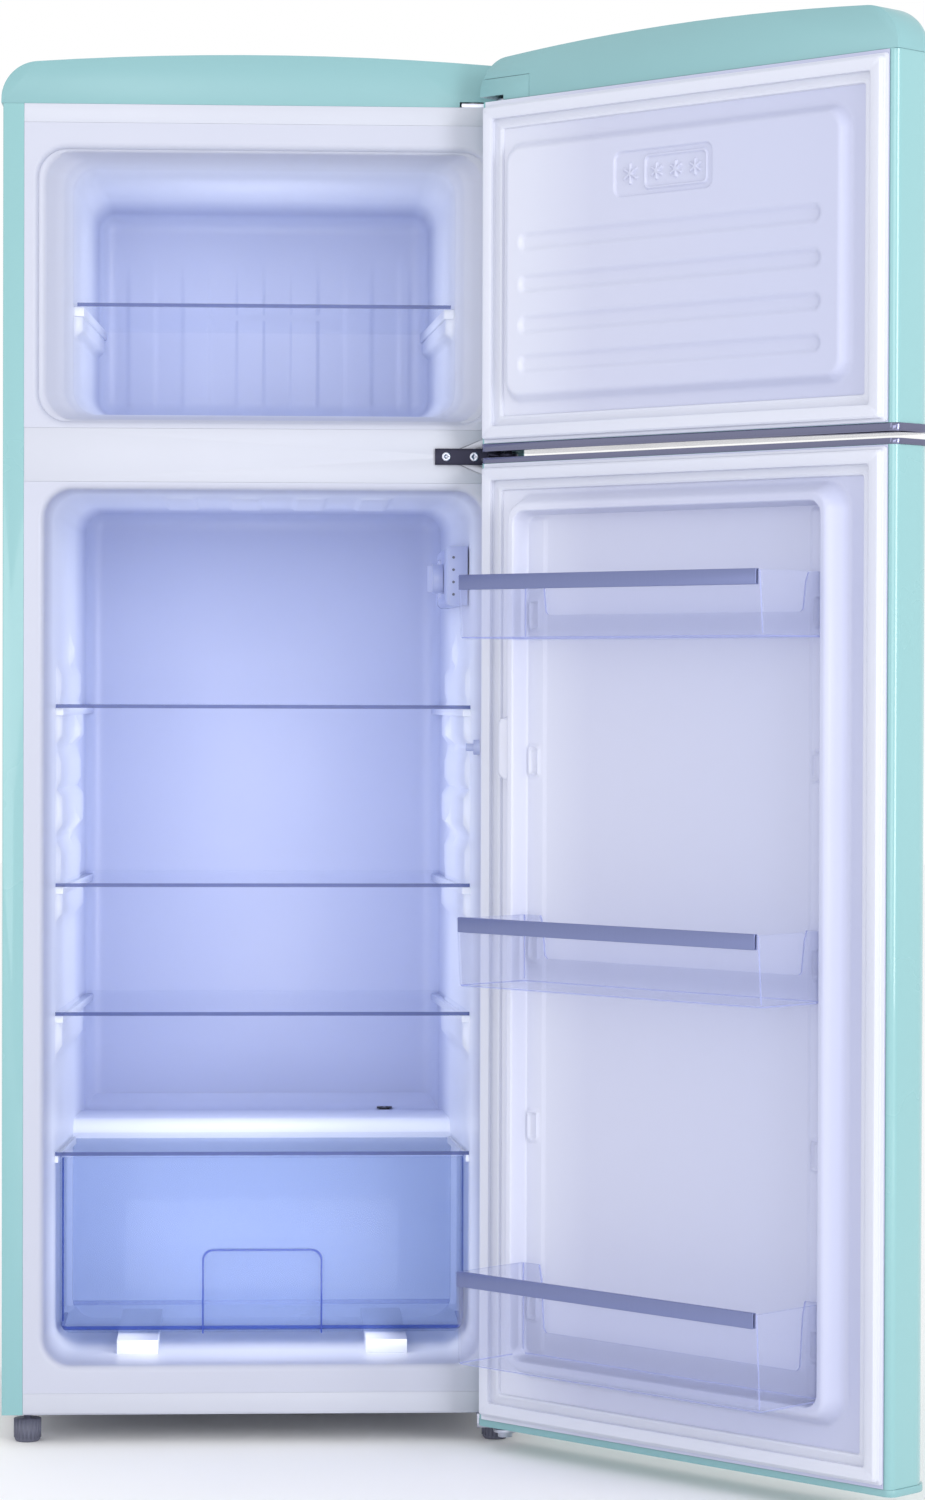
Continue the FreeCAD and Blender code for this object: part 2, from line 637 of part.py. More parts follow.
nodes["middle_hinge"] = middle_hinge()
nodes["top_hinge"] = top_hinge()
nodes["bottom_hinge"] = bottom_hinge()
screws = [placed_screw((x, -2.6, MID_Z)) for x in SCREW_X]
screws += [placed_screw((219.0, y, TOP_ARM_Z[1]), True) for y in TOP_SCREW_Y]
nodes["hinge_screws"] = loose(screws)
for name in ("middle_hinge", "top_hinge", "mullion_cover"):
    nodes[name] = nodes[name].cut(screws)
nodes["insulation"] = loose([
    s.cut(screws) if min(s.distToShape(h)[0] for h in screws) < 0.01 else s
    for s in nodes["insulation"].Solids
])


# ---------------------------------------------------------------- glass shelves
def glass(front, back, half_front, half_back, z):
    return wedge_solid(
        ((-half_front, half_front), front, (z, z + SHELF_T)),
        ((-half_back, half_back), back, (z, z + SHELF_T)),
    )


def wall_half(y):
    """Half width of the fridge cavity at a depth y."""
    return FRIDGE_HALF + (FRIDGE_BACK[0] - FRIDGE_HALF) * y / FRIDGE_DEPTH


for label, height in SHELF_Z.items():
    nodes[label + "_shelf"] = glass(
        SHELF_FRONT, SHELF_BACK, wall_half(SHELF_FRONT) - 1, wall_half(SHELF_BACK) - 1, height
    )
nodes["crisper_cover"] = glass(
    SHELF_FRONT, BENCH_Y - 2, wall_half(SHELF_FRONT) - 1, wall_half(BENCH_Y) - 1, CRISPER_COVER_Z
)
nodes["freezer_shelf"] = glass(*FREEZER_SHELF[:2], *FREEZER_SHELF_HALF, FREEZER_SHELF[2])


def ledges(front, back, half, height, depth):
    """A pair of ledges on the side walls; half and depth are (near, far) and (out, in)."""
    solids = []
    for side in (-1, 1):
        near, far = [sorted((side * (h + depth[0]), side * (h - depth[1]))) for h in half]
        solids.append(wedge_solid((near, front, height), (far, back, height)))
    return solids


def shelf_rests():
    """Ledges moulded on the side walls under each glass shelf, and two skids under the drawer."""
    solids = []
    levels = [(z, SHELF_BACK, 9.0) for z in SHELF_Z.values()]
    levels.append((CRISPER_COVER_Z, BENCH_Y - 8, 4.0))
    for z, back, inward in levels:
        half = (wall_half(SHELF_FRONT), wall_half(back))
        solids += ledges(SHELF_FRONT + 5, back, half, (z - REST_H, z), (5.0, inward))
    for side in (-1, 1):
        x = sorted((side * SKID_X[0], side * SKID_X[1]))
        solids.append(box(x, (SKID_Y, BENCH_Y - 10), (70, CRISPER_Z[0] - 0.3)))
    front, back, z = FREEZER_SHELF
    solids += ledges(front + 5, back, FREEZER_SHELF_HALF, (z - REST_H - 2, z), (7.0, 7.0))
    return solids


cavities = [tub(FREEZER_SECTIONS), tub(FRIDGE_SECTIONS)]
trimmed = [rest.common(cavity) for rest in shelf_rests() for cavity in cavities]
nodes["shelf_rests"] = loose([rest for rest in trimmed if rest.Volume > 1])


# ---------------------------------------------------------------- crisper
def crisper():
    """Clear vegetable drawer with rounded bottom corners and a hand recess in its front."""
    t = CRISPER_T
    low, top = CRISPER_Z
    over = top + 40              # the tub is drawn taller and cut off, so its rim stays square

    def drawer_tub(inset):
        return tub([(y, half - inset, low + inset, over + inset, CRISPER_R - inset)
                    for y, half in ((CRISPER_Y[0] + inset, CRISPER_HALF[0]),
                                    (CRISPER_Y[1] - inset, CRISPER_HALF[1]))])

    outer = drawer_tub(0)
    front = CRISPER_Y[0]
    lid = box((-300, 300), (0, 500), (top, 400))
    wall = box((-GRIP_X - t, GRIP_X + t), (front, front + GRIP_DEEP + t), (low, GRIP_Z[1] + t))
    recess = box((-GRIP_X, GRIP_X), (front - 1, front + GRIP_DEEP), GRIP_Z)
    rim = box((-CRISPER_HALF[0], CRISPER_HALF[0]), (front + t, front + t + 8), (top - t, top))
    shape = fused([outer.cut(drawer_tub(t)), wall]).cut(recess)
    return fused([shape, rim.common(outer)]).cut(lid)


nodes["crisper_drawer"] = crisper()


# ---------------------------------------------------------------- thermostat, lamp and light switch
def thermostat_housing():
    """Cover on the right wall that holds the thermostat and the lamp."""
    near, far = [(HOUSING_X, wall_half(y) - 1) for y in (HOUSING_Y[0] + 12, HOUSING_Y[1])]
    shape = wedge_solid((near, HOUSING_Y[0], HOUSING_Z), (far, HOUSING_Y[1], HOUSING_Z))
    shape = shape.makeFillet(6, [e for e in shape.Edges if e.BoundBox.XMax < HOUSING_X + 0.1])
    shape = shape.cut(rod((HOUSING_X - 6, KNOB[1], KNOB[2]), (1, 0, 0), 3.05, 14))
    lamp_bay = box((HOUSING_X - 6, HOUSING_X + 10), (238, 306), (HOUSING_Z[0] + 10, HOUSING_Z[1] - 10))
    return shape.cut(lamp_bay).cut(nodes["fridge_liner"])


def thermostat_knob():
    x, y, z = KNOB
    disc = rod(KNOB, (1, 0, 0), KNOB_R, HOUSING_X - x - 0.5)
    grip = box((x - 5, x), (y - 3.5, y + 3.5), (z - KNOB_R + 2, z + KNOB_R - 2))
    spindle = rod((x + 11, y, z), (1, 0, 0), 3.0, 7)
    return fused([disc, grip, spindle])


def lamp():
    """Small tubular lamp in the housing's open bay."""
    bulb = rod((LAMP[0], 244, LAMP[1]), (0, 1, 0), 4.0, 44)
    cap = rod((LAMP[0], 288, LAMP[1]), (0, 1, 0), 4.4, 17.9)
    return fused([bulb, cap])


def switch_socket():
    """The light switch's socket in the right wall, before it is bored."""
    return rod((wall_half(SWITCH[1]) - 6, SWITCH[1], SWITCH[2]), (1, 0, 0), SOCKET_R, 26)


def light_switch():
    bore = rod((wall_half(SWITCH[1]) - 10, SWITCH[1], SWITCH[2]), (1, 0, 0), SWITCH_R + 0.05, 28)
    return switch_socket().cut(bore)


def switch_plunger():
    return rod((SWITCH[0] - 2, SWITCH[1], SWITCH[2]), (1, 0, 0), SWITCH_R, 20)


nodes["thermostat_housing"] = thermostat_housing()
nodes["thermostat_knob"] = thermostat_knob()
nodes["lamp"] = lamp()
nodes["light_switch"] = light_switch()
nodes["switch_plunger"] = switch_plunger()
socket = switch_socket()
nodes["fridge_liner"] = nodes["fridge_liner"].cut(socket)
nodes["insulation"] = loose([
    s.cut(socket) if s.distToShape(socket)[0] < 0.01 else s for s in nodes["insulation"].Solids
])


# ---------------------------------------------------------------- doors
def door_skin(z):
    """Painted steel wrapped round the door, open at the back for the liner."""
    mouth = DOOR_HALF - PLATE_INSET
    inner_mouth = box((-mouth, mouth), (FRONT_Y - 3, FRONT_Y + 1), (z[0] - 1, z[1] + 1))
    return door_block(z).cut(door_block((z[0] - 1, z[1] + 1), SHEET)).cut(inner_mouth)


def door_foam(z):
    """Foam core behind the liner, a plain block inside the skin."""
    core = door_block(z, SHEET)
    return core.cut(box((-300, 300), (FRONT_Y - SHEET - SKIN, 10), (z[0] - 1, z[1] + 1)))


def trapezoid_bar(x, y0, height, z, draft):
    """A bar along Z that narrows away from the door: used for the liners' raised parts."""
    return wedge_solid(
        ((x[0], x[1]), y0, z),
        ((x[0] + draft, x[1] - draft), y0 + height, (z[0] + draft, z[1] - draft)),
    )


def door_plate(z):
    """The liner's flat rim."""
    return box((-DOOR_HALF + PLATE_INSET, DOOR_HALF - PLATE_INSET), (FRONT_Y - SHEET - SKIN, FRONT_Y), z)


def door_gasket(z):
    """Magnetic seal: a hollow-looking bulb on a flat foot, mitred round the liner's rim."""
    depth = GAP - 1.0
    inset = 10.0
    wide = 16.0
    x0, x1 = -DOOR_HALF + inset, DOOR_HALF - inset
    z0, z1 = z[0] + 4, z[1] - 4
    slope = 4.0
    outer = wedge_solid(((x0, x1), FRONT_Y, (z0, z1)),
                        ((x0 + slope, x1 - slope), FRONT_Y + depth, (z0 + slope, z1 - slope)))
    hole = wedge_solid(((x0 + wide + 4, x1 - wide - 4), FRONT_Y - 0.1, (z0 + wide + 4, z1 - wide - 4)),
                       ((x0 + wide, x1 - wide), FRONT_Y + depth + 0.1, (z0 + wide, z1 - wide)))
    return outer.cut(hole)


def freezer_door_liner():
    plate = door_plate(FREEZER_DOOR_Z)
    x = (-DOOR_HALF + FREEZER_PANEL_U, DOOR_HALF - FREEZER_PANEL_U)
    panel = trapezoid_bar(x, FRONT_Y, FREEZER_PANEL_H, FREEZER_PANEL_Z, 8.0)
    hollow = trapezoid_bar((x[0] + 3, x[1] - 3), FRONT_Y - SHEET - SKIN - 1, FREEZER_PANEL_H + 1 + SHEET,
                           (FREEZER_PANEL_Z[0] + 3, FREEZER_PANEL_Z[1] - 3), 8.0)
    return fused([plate, panel]).cut(hollow), hollow


def fridge_door_liner():
    plate = door_plate(FRIDGE_DOOR_Z)
    dykes, hollows = [], []
    for a, b in (DYKE_U, (DOOR_W - DYKE_U[1], DOOR_W - DYKE_U[0])):
        x = (door_x(b), door_x(a))
        dykes.append(trapezoid_bar(x, FRONT_Y, DYKE_H, DYKE_Z, 3.0))
        hollows.append(trapezoid_bar((x[0] + 3, x[1] - 3), FRONT_Y - SHEET - SKIN - 1, DYKE_H + 1 + SHEET,
                                     (DYKE_Z[0] + 3, DYKE_Z[1] - 3), 3.0))
    for z in PLATEAU_Z:
        x = (door_x(DOOR_W - DYKE_U[0]), door_x(DYKE_U[0]))
        dykes.append(trapezoid_bar(x, FRONT_Y, PLATEAU_H, z, 3.0))
    shape = fused([plate] + dykes)
    for hollow in hollows:
        shape = shape.cut(hollow)
    return shape, hollows


def door_trim(z):
    """Bright trim round the end of a door: a tray with the door's outline, 1.5 mm proud."""
    x, y = DOOR_HALF + 1.5, (OUTER_Y - 1.5, FRONT_Y)
    block = box((-x, x), y, z)
    upright = [e for e in block.Edges if e.BoundBox.ZLength > 1]
    block = block.makeFillet(DOOR_R_OUT, [e for e in upright if e.BoundBox.YMin < OUTER_Y])
    inner = [e for e in block.Edges if e.BoundBox.ZLength > 1 and e.BoundBox.YMin > FRONT_Y - 0.1]
    return block.makeFillet(DOOR_R_IN + 1.5, inner)


def door_cap():
    """Arched moulding on top of the freezer door, hollow, with a slot over the hinge arm."""
    front, back = OUTER_Y - 1.0, FRONT_Y
    solid = cap_profile(front).extrude(Vec(0, back - front, 0))
    rim = [e for e in solid.Edges if abs(e.BoundBox.YMin - front) < 0.01 and e.BoundBox.YLength < 0.01
           and e.BoundBox.ZMax > CAP_Z + 0.01]
    solid = solid.makeFillet(DOOR_R_OUT, rim)
    wall = 18.0
    hollow = cap_profile(front + wall, wall).extrude(Vec(0, back - front - wall - 3, 0))
    slot = box((HINGE_X - ARM_HALF - 1, 300), (front + 3, 1), (CAP_Z - 1, TOP_ARM_Z[1] + 1.1))
    return solid.cut(hollow).cut(slot)


def cap_corner_cover(cap):
    """The separate piece of the cap over the hinge, split off along a plain seam."""
    seam, low, top = 0.5, (205, 300), CAP_Z + 23
    piece = cap.common(box(low, (-100, 0), (CAP_Z - 1, top)))
    rest = cap.cut(box((low[0] - seam, low[1]), (-100, 0), (CAP_Z - 1, top + seam)))
    return piece, rest


def pin_hole(z):
    return rod((HINGE_X, HINGE_Y, z[0]), (0, 0, 1), BUSH_R, z[1] - z[0])


def bush_seat(z, flange_low):
    """A sleeve with a flange at its open end, before it is bored."""
    sleeve = rod((HINGE_X, HINGE_Y, z[0]), (0, 0, 1), 7.0, z[1] - z[0])
    flange = rod((HINGE_X, HINGE_Y, z[0] if flange_low else z[1] - 2), (0, 0, 1), 9.5, 2)
    return fused([sleeve, flange])


def handle(z):
    """Bright vertical bow handle on two posts."""
    x = door_x(HANDLE_U)
    near, far = HANDLE_OUT
    bar = box((x - HANDLE_HALF, x + HANDLE_HALF), (OUTER_Y - far, OUTER_Y - near), z)
    edges = [e for e in bar.Edges if e.BoundBox.ZLength > 20]
    bar = bar.makeFillet(5.0, edges)
    length = near + 3
    posts = [rod((x, OUTER_Y - length, h), (0, 1, 0), 7.0, length) for h in (z[0] + 16, z[1] - 16)]
    return fused([bar] + posts)


TRIM_FREEZER = (TRIM_GAP_Z[1], FREEZER_DOOR_Z[0])
TRIM_FRIDGE = (FRIDGE_DOOR_Z[1], TRIM_GAP_Z[0])
FREEZER_BUSHES = [(TRIM_FREEZER[0], TRIM_FREEZER[0] + 24.0), (CAP_Z - 20.0, CAP_Z)]
FRIDGE_BUSHES = [(TRIM_FRIDGE[1] - 22.0, TRIM_FRIDGE[1]), (DOOR_FOOT_Z, DOOR_FOOT_Z + 24.0)]
freezer_seats = [bush_seat(FREEZER_BUSHES[0], True), bush_seat(FREEZER_BUSHES[1], False)]
fridge_seats = [bush_seat(FRIDGE_BUSHES[0], False), bush_seat(FRIDGE_BUSHES[1], True)]
pin_line = pin_hole((0, 1500))

freezer_liner_piece, freezer_core = freezer_door_liner()
fridge_liner_piece, dyke_cores = fridge_door_liner()
core_limit = box((-300, 300), (FRONT_Y - SHEET - SKIN, 30), (0, 1500))
cap_piece, cap_rest = cap_corner_cover(door_cap())

freezer_door = {
    "freezer_door_skin": door_skin(FREEZER_DOOR_Z),
    "freezer_door_foam": loose([door_foam(FREEZER_DOOR_Z), freezer_core.common(core_limit)]),
    "freezer_door_liner": freezer_liner_piece,
    "freezer_door_gasket": door_gasket((TRIM_FREEZER[0] + 5, FREEZER_DOOR_Z[1])),
    "freezer_door_trim": door_trim(TRIM_FREEZER),
    "freezer_door_cap": cap_rest,
    "cap_corner_cover": cap_piece,
    "freezer_door_handle": handle(FREEZER_HANDLE_Z),
    "freezer_door_bushes": loose([seat.cut(pin_line) for seat in freezer_seats]),
}
fridge_door = {
    "fridge_door_skin": door_skin(FRIDGE_DOOR_Z),
    "fridge_door_foam": loose([door_foam(FRIDGE_DOOR_Z)] + [c.common(core_limit) for c in dyke_cores]),
    "fridge_door_liner": fridge_liner_piece,
    "fridge_door_gasket": door_gasket((FRIDGE_DOOR_Z[0], TRIM_FRIDGE[1] - 4)),
    "fridge_door_trim": door_trim(TRIM_FRIDGE),
    "fridge_door_foot": door_trim((DOOR_FOOT_Z, FRIDGE_DOOR_Z[0])),
    "fridge_door_handle": handle(FRIDGE_HANDLE_Z),
    "fridge_door_bushes": loose([seat.cut(pin_line) for seat in fridge_seats]),
}
for door, plugs in ((freezer_door, freezer_seats), (fridge_door, fridge_seats)):
    for name in list(door):
        if name.endswith(("_skin", "_foam", "_liner", "_trim", "_foot", "_cap", "_cover")):
            solids = [s.cut(plugs) for s in door[name].Solids]
            door[name] = solids[0] if len(solids) == 1 else loose(solids)
for door in (freezer_door, fridge_door):
    for name, shape in door.items():
        nodes[name] = open_door(shape)


# ---------------------------------------------------------------- door bins
def door_bin(z):
    """Clear bin: high front and ends, low back, between the two dykes."""
    x = (door_x(BIN_U[1]), door_x(BIN_U[0]))
    y = (FRONT_Y + BIN_V[0], FRONT_Y + BIN_V[1])
    outer = wedge_solid(((x[0], x[1]), y[0], z), ((x[0] + 2, x[1] - 2), y[1], z))
    t = BIN_T
    inner = wedge_solid(((x[0] + t, x[1] - t), y[0] + t, (z[0] + t, z[1] + 1)),
                        ((x[0] + 2 + t, x[1] - 2 - t), y[1] - t, (z[0] + t, z[1] + 1)))
    low_back = box((x[0] + 24, x[1] - 24), (y[0] - 1, y[0] + t + 0.5), (z[0] + BIN_LOW_BACK, z[1] + 1))
    return outer.cut(inner).cut(low_back)


def bin_trim(z):
    """Brushed metal strip clipped over the top of a bin's front."""
    x = (door_x(BIN_U[1]) + 5, door_x(BIN_U[0]) - 5)
    y = FRONT_Y + BIN_V[1]
    outer = box(x, (y - BIN_T - 1.2, y + 1.2), (z[1] - 14, z[1] + 1.2))
    return outer.cut(box((x[0] - 1, x[1] + 1), (y - BIN_T, y), (z[1] - 15, z[1])))


for label, span in BIN_Z.items():
    nodes[label + "_bin"] = open_door(door_bin(span))
    nodes[label + "_bin_trim"] = open_door(bin_trim(span))

# ---------------------------------------------------------------- write the parts
for name, shape in nodes.items():
    if not shape.isValid():
        print("invalid", name)
    shape.exportStep(os.path.join("parts", name + ".step"))
print(len(nodes), "nodes")
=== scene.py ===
import json
import math

import bmesh
import bpy
import numpy as np
from mathutils import Matrix, Vector

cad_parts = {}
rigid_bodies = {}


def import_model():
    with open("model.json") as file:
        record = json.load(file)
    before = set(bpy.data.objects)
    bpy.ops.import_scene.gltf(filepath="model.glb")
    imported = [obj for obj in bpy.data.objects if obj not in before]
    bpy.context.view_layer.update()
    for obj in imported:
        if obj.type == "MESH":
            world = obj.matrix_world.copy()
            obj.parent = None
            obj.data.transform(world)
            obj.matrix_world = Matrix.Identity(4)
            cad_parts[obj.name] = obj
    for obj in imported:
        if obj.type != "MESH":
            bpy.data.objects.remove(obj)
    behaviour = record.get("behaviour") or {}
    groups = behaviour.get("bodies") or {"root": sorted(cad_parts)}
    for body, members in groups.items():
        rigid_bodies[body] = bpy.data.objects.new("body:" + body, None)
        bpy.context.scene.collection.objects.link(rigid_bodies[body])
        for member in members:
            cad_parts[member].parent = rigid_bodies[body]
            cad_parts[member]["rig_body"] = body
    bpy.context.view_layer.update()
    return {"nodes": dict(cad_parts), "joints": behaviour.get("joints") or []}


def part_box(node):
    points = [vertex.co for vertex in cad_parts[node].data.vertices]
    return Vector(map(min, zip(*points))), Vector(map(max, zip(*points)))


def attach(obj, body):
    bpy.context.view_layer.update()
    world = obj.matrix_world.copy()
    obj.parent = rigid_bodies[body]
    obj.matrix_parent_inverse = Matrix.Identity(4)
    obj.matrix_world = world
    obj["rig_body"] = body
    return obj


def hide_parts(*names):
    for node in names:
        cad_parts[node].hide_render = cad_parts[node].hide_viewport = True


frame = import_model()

MM = 0.001

# ---------------------------------------------------------------- dimensions, from the frame
JOINTS = {joint["name"]: joint for joint in frame["joints"]}
SWING = JOINTS["fridge_door_swing"]
PIN = Vector((SWING["pos_m"][0], SWING["pos_m"][1], 0)) / MM
OPEN = -math.radians(SWING["range_deg"][0])


def span(node):
    """(low, high) corners of a CAD node in millimetres."""
    low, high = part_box(node)
    return low / MM, high / MM


def z_span(node):
    """(low, high) heights of a CAD node in millimetres."""
    low, high = span(node)
    return low.z, high.z


BODY_HALF = span("right_side_panel")[1].x
STRIP = 22.0                     # painted front edge of each side panel
FACE_HALF = BODY_HALF - STRIP
BACK_Y = span("top_cap")[1].y
GAP = 12.0                       # between the cabinet's face and a closed door
DOOR_T = 62.0                    # door thickness
DOOR_W = 548.0
DOOR_HALF = DOOR_W / 2
FRONT_Y = -GAP                   # inner face of a closed door
OUTER_Y = -GAP - DOOR_T
R_OUT = 24.0                     # upright corners of a door, outer and inner
R_IN = 8.0
FREEZER_DOOR_Z = z_span("freezer_door_skin")
FRIDGE_DOOR_Z = z_span("fridge_door_skin")
FREEZER_FACE_Z = z_span("freezer_liner")
FRIDGE_FACE_Z = z_span("fridge_liner")
FREEZER_SHELF_Z = z_span("freezer_shelf")[0]
BENCH_Y = 300.0                  # step over the compressor: its front and its top
BENCH_Z = 310.0
NICHE_Y = 345.0                  # front wall of the compressor's niche
NICHE_Z = (32.0, 262.0)
SHELVES = ("upper_shelf", "middle_shelf", "lower_shelf", "crisper_cover")
SHELF_LEVELS = [z_span(node)[0] for node in SHELVES[:3]]
SPARE_LEVEL = 680.0              # ledge without a shelf on it

# cavity sections: depth, half width, low, high, corner radius
FREEZER_STOPS = [
    (0, 236.0, 1072.7, 1357.0, 30.0),
    (12, 228.0, 1075.0, 1354.5, 30.0),
    (40, 211.0, 1080.5, 1349.5, 28.0),
    (70, 203.0, 1084.0, 1346.0, 26.0),
    (420, 188.0, 1103.0, 1335.0, 22.0),
]
FRIDGE_STOPS = [
    (0, 230.0, 82.0, 1001.5, 30.0),
    (435, 203.0, 88.0, 994.0, 24.0),
]

# reliefs on the fridge's side walls at a shelf: (front, low) and (back, high) with the heights
# counted from the shelf's level, corner radius, rise
LEDGE = ((116, -34), (340, -3), 5, 6.5)
BLOCK = ((122, 10), (330, 40), 5, 4.5)
BOSS = ((250, 56), (266, 72), 8, 5.0)
RELIEF_EASE = 5

# door liners, in door coordinates: u from the hinge edge, v towards the cabinet
LINER_BASE = 0.8                 # height of a liner's flat border
DYKE_TOP = 24.0                  # height of the frame round the fridge door's recess
LUG_LEVELS = (870.0, 720.0, 530.0, 345.0, 160.0)
GROOVE_LEVELS = (1253.0, 1210.0, 1168.0, 1128.0)
STAR_Z = 1311.0
STARS = ((218.0, 11.0), (253.0, 9.0), (278.5, 9.0), (304.0, 9.0))    # u, size
HOLES = ((41.0, 1009.0), (507.0, 1009.0), (41.0, 50.0), (507.0, 50.0))    # u, z
GASKET_INSET = 9.0
# gasket section: inwards from its outer edge, v
GASKET_PROFILE = [(0.0, 0.9), (0.0, 2.2), (2.4, 3.2), (3.4, 4.6), (2.6, 6.0), (3.4, 9.0),
                  (5.0, 10.2), (14.0, 10.4), (16.0, 9.4), (16.4, 6.6), (15.0, 5.2), (16.0, 3.8),
                  (20.0, 3.0), (24.0, 4.2), (26.0, 3.4), (27.0, 0.9)]
BIN_U = (73.5, 474.5)
BIN_V = (8.0, 110.0)
BIN_LOW_BACK = 26.0
BIN_Z = {"top": (844.0, 908.0), "middle": (492.0, 562.0), "bottom": (108.0, 203.0)}

# hand recess in the crisper's front: half width, top, depth, corner radius
GRIP_X, GRIP_TOP, GRIP_DEEP, GRIP_R = 63.0, 188.0, 22.0, 11.0

# takes a closed door to the open rest position
DOOR = Matrix.Translation(PIN) @ Matrix.Rotation(OPEN, 4, "Z") @ Matrix.Translation(-PIN)
SHARP = 35.0                     # degrees between faces from which an edge stays sharp


# ---------------------------------------------------------------- material helpers
def linear(value):
    """One sRGB channel (0 to 255) as scene-linear."""
    v = value / 255
    return v / 12.92 if v <= 0.04045 else ((v + 0.055) / 1.055) ** 2.4


def srgb(r, g, b):
    return (linear(r), linear(g), linear(b), 1.0)


class Shader:
    """A node material built up from a Principled shader."""

    def __init__(self, name, color, roughness, **constants):
        self.material = bpy.data.materials.new(name)
        self.material.use_nodes = True
        self.tree = self.material.node_tree
        self.nodes = self.tree.nodes
        self.base = self.nodes["Principled BSDF"]
        self.base.inputs["Base Color"].default_value = color
        self.base.inputs["Roughness"].default_value = roughness
        for label, value in constants.items():
            self.base.inputs[label.replace("_", " ")].default_value = value
        self.coords = self.nodes.new("ShaderNodeTexCoord")

    def link(self, source, target):
        self.tree.links.new(source, target)

    def noise(self, scale, detail=3.0, stretch=(1, 1, 1)):
        mapping = self.nodes.new("ShaderNodeMapping")
        mapping.inputs["Scale"].default_value = stretch
        self.link(self.coords.outputs["Object"], mapping.inputs["Vector"])
        noise = self.nodes.new("ShaderNodeTexNoise")
        noise.inputs["Scale"].default_value = scale
        noise.inputs["Detail"].default_value = detail
        self.link(mapping.outputs["Vector"], noise.inputs["Vector"])
        return noise.outputs["Fac"]

    def remap(self, value, low, high, start=0.3, end=0.7):
        node = self.nodes.new("ShaderNodeMapRange")
        node.inputs["From Min"].default_value = start
        node.inputs["From Max"].default_value = end
        node.inputs["To Min"].default_value = low
        node.inputs["To Max"].default_value = high
        self.link(value, node.inputs["Value"])
        return node.outputs["Result"]

    def mix(self, factor, a, b):
        """Blend of two colours."""
        color_a, color_b, color_out = 6, 7, 2    # socket numbers for the RGBA data type
        node = self.nodes.new("ShaderNodeMix")
        node.data_type = "RGBA"
        node.inputs[color_a].default_value = a
        node.inputs[color_b].default_value = b
        self.link(factor, node.inputs["Factor"])
        return node.outputs[color_out]

    def roughen(self, low, high, scale=6.0, stretch=(1, 1, 1)):
        """Slight change of gloss over the surface."""
        value = self.remap(self.noise(scale, 4.0, stretch), low, high)
        self.link(value, self.base.inputs["Roughness"])

    def bump(self, scale, strength, distance=0.0002, detail=2.0, stretch=(1, 1, 1)):
        """Fine texture of the surface."""
        node = self.nodes.new("ShaderNodeBump")
        node.inputs["Strength"].default_value = strength
        node.inputs["Distance"].default_value = distance
        self.link(self.noise(scale, detail, stretch), node.inputs["Height"])
        self.link(node.outputs["Normal"], self.base.inputs["Normal"])

    def vary(self, a, b, scale=2.0):
        """Very slight shift of colour over the surface."""
        share = self.remap(self.noise(scale), 0, 1)
        self.link(self.mix(share, a, b), self.base.inputs["Base Color"])

    def along_axis(self, axis, stops):
        """Colour by position along an axis: stops are (millimetres, colour)."""
        split = self.nodes.new("ShaderNodeSeparateXYZ")
        self.link(self.coords.outputs["Object"], split.inputs["Vector"])
        ramp = self.nodes.new("ShaderNodeValToRGB")
        low, high = stops[0][0], stops[-1][0]
        self.link(self.remap(split.outputs[axis], 0, 1, low * MM, high * MM), ramp.inputs["Fac"])
        elements = ramp.color_ramp.elements
        while len(elements) < len(stops):
            elements.new(0.5)
        for element, (at, color) in zip(elements, stops):
            element.position = (at - low) / (high - low)
            element.color = color
        self.link(ramp.outputs["Color"], self.base.inputs["Base Color"])


def darker(color, share):
    return tuple(c * share for c in color[:3]) + (1.0,)


def plastic(name, color, roughness):
    shader = Shader(name, color, roughness)
    shader.vary(color, darker(color, 0.97), 3.0)
    shader.roughen(roughness * 0.85, roughness * 1.2)
    shader.bump(900.0, 0.08)
    return shader.material


def mint_paint():
    color = srgb(131, 178, 182)
    shader = Shader("mint_enamel", color, 0.25, Coat_Weight=0.7, Coat_Roughness=0.05)
    shader.vary(color, srgb(128, 175, 179), 1.2)
    shader.roughen(0.2, 0.3)
    shader.bump(420.0, 0.05)
    return shader.material


def mint_plastic():
    color = srgb(130, 173, 178)
    shader = Shader("mint_moulding", color, 0.32)
    shader.vary(color, srgb(127, 170, 175), 1.5)
    shader.roughen(0.28, 0.38)
    shader.bump(600.0, 0.08)
    return shader.material


def liner_material():
    """White liner with painted light and shade along the depth: brighter inside, darker and bluer
    at the back.
    """
    white = srgb(184, 187, 203)
    shader = Shader("white_liner", white, 0.38)
    # painted light and shade by depth: the bright middle makes up for the dimmer light inside, the
    # darker, bluer back is painted shade
    shader.along_axis("Y", [(-10, white), (3, white), (25, srgb(190, 193, 209)),
                            (90, srgb(232, 236, 248)), (300, srgb(228, 233, 248)),
                            (412, srgb(186, 194, 224)), (438, srgb(154, 163, 201))])
    shader.roughen(0.34, 0.46)
    shader.bump(700.0, 0.05)
    return shader.material


def door_liner_material():
    """White liner with painted light and shade across the door: brighter at the hinge side, darker
    and cooler towards the free edge.
    """
    white = srgb(190, 193, 215)
    shader = Shader("door_liner", white, 0.38)
    # painted light and shade along X: lighter near the hinge, painted shade, darker and bluer,
    # towards the doors' free edge
    shader.along_axis("X", [(225, srgb(210, 212, 226)), (270, srgb(204, 207, 224)), (330, white),
                            (480, srgb(185, 189, 214)), (600, srgb(180, 184, 210))])
    shader.roughen(0.34, 0.46)
    shader.bump(700.0, 0.05)
    return shader.material


def chrome():
    # base colour darkened and tinted blue-violet: painted reflection of the dark, bluish
    # surroundings seen in the trims
    shader = Shader("chrome", srgb(120, 122, 148), 0.16, Metallic=1.0)
    shader.roughen(0.07, 0.16, 12.0)
    shader.bump(1200.0, 0.02, 0.0001)
    return shader.material


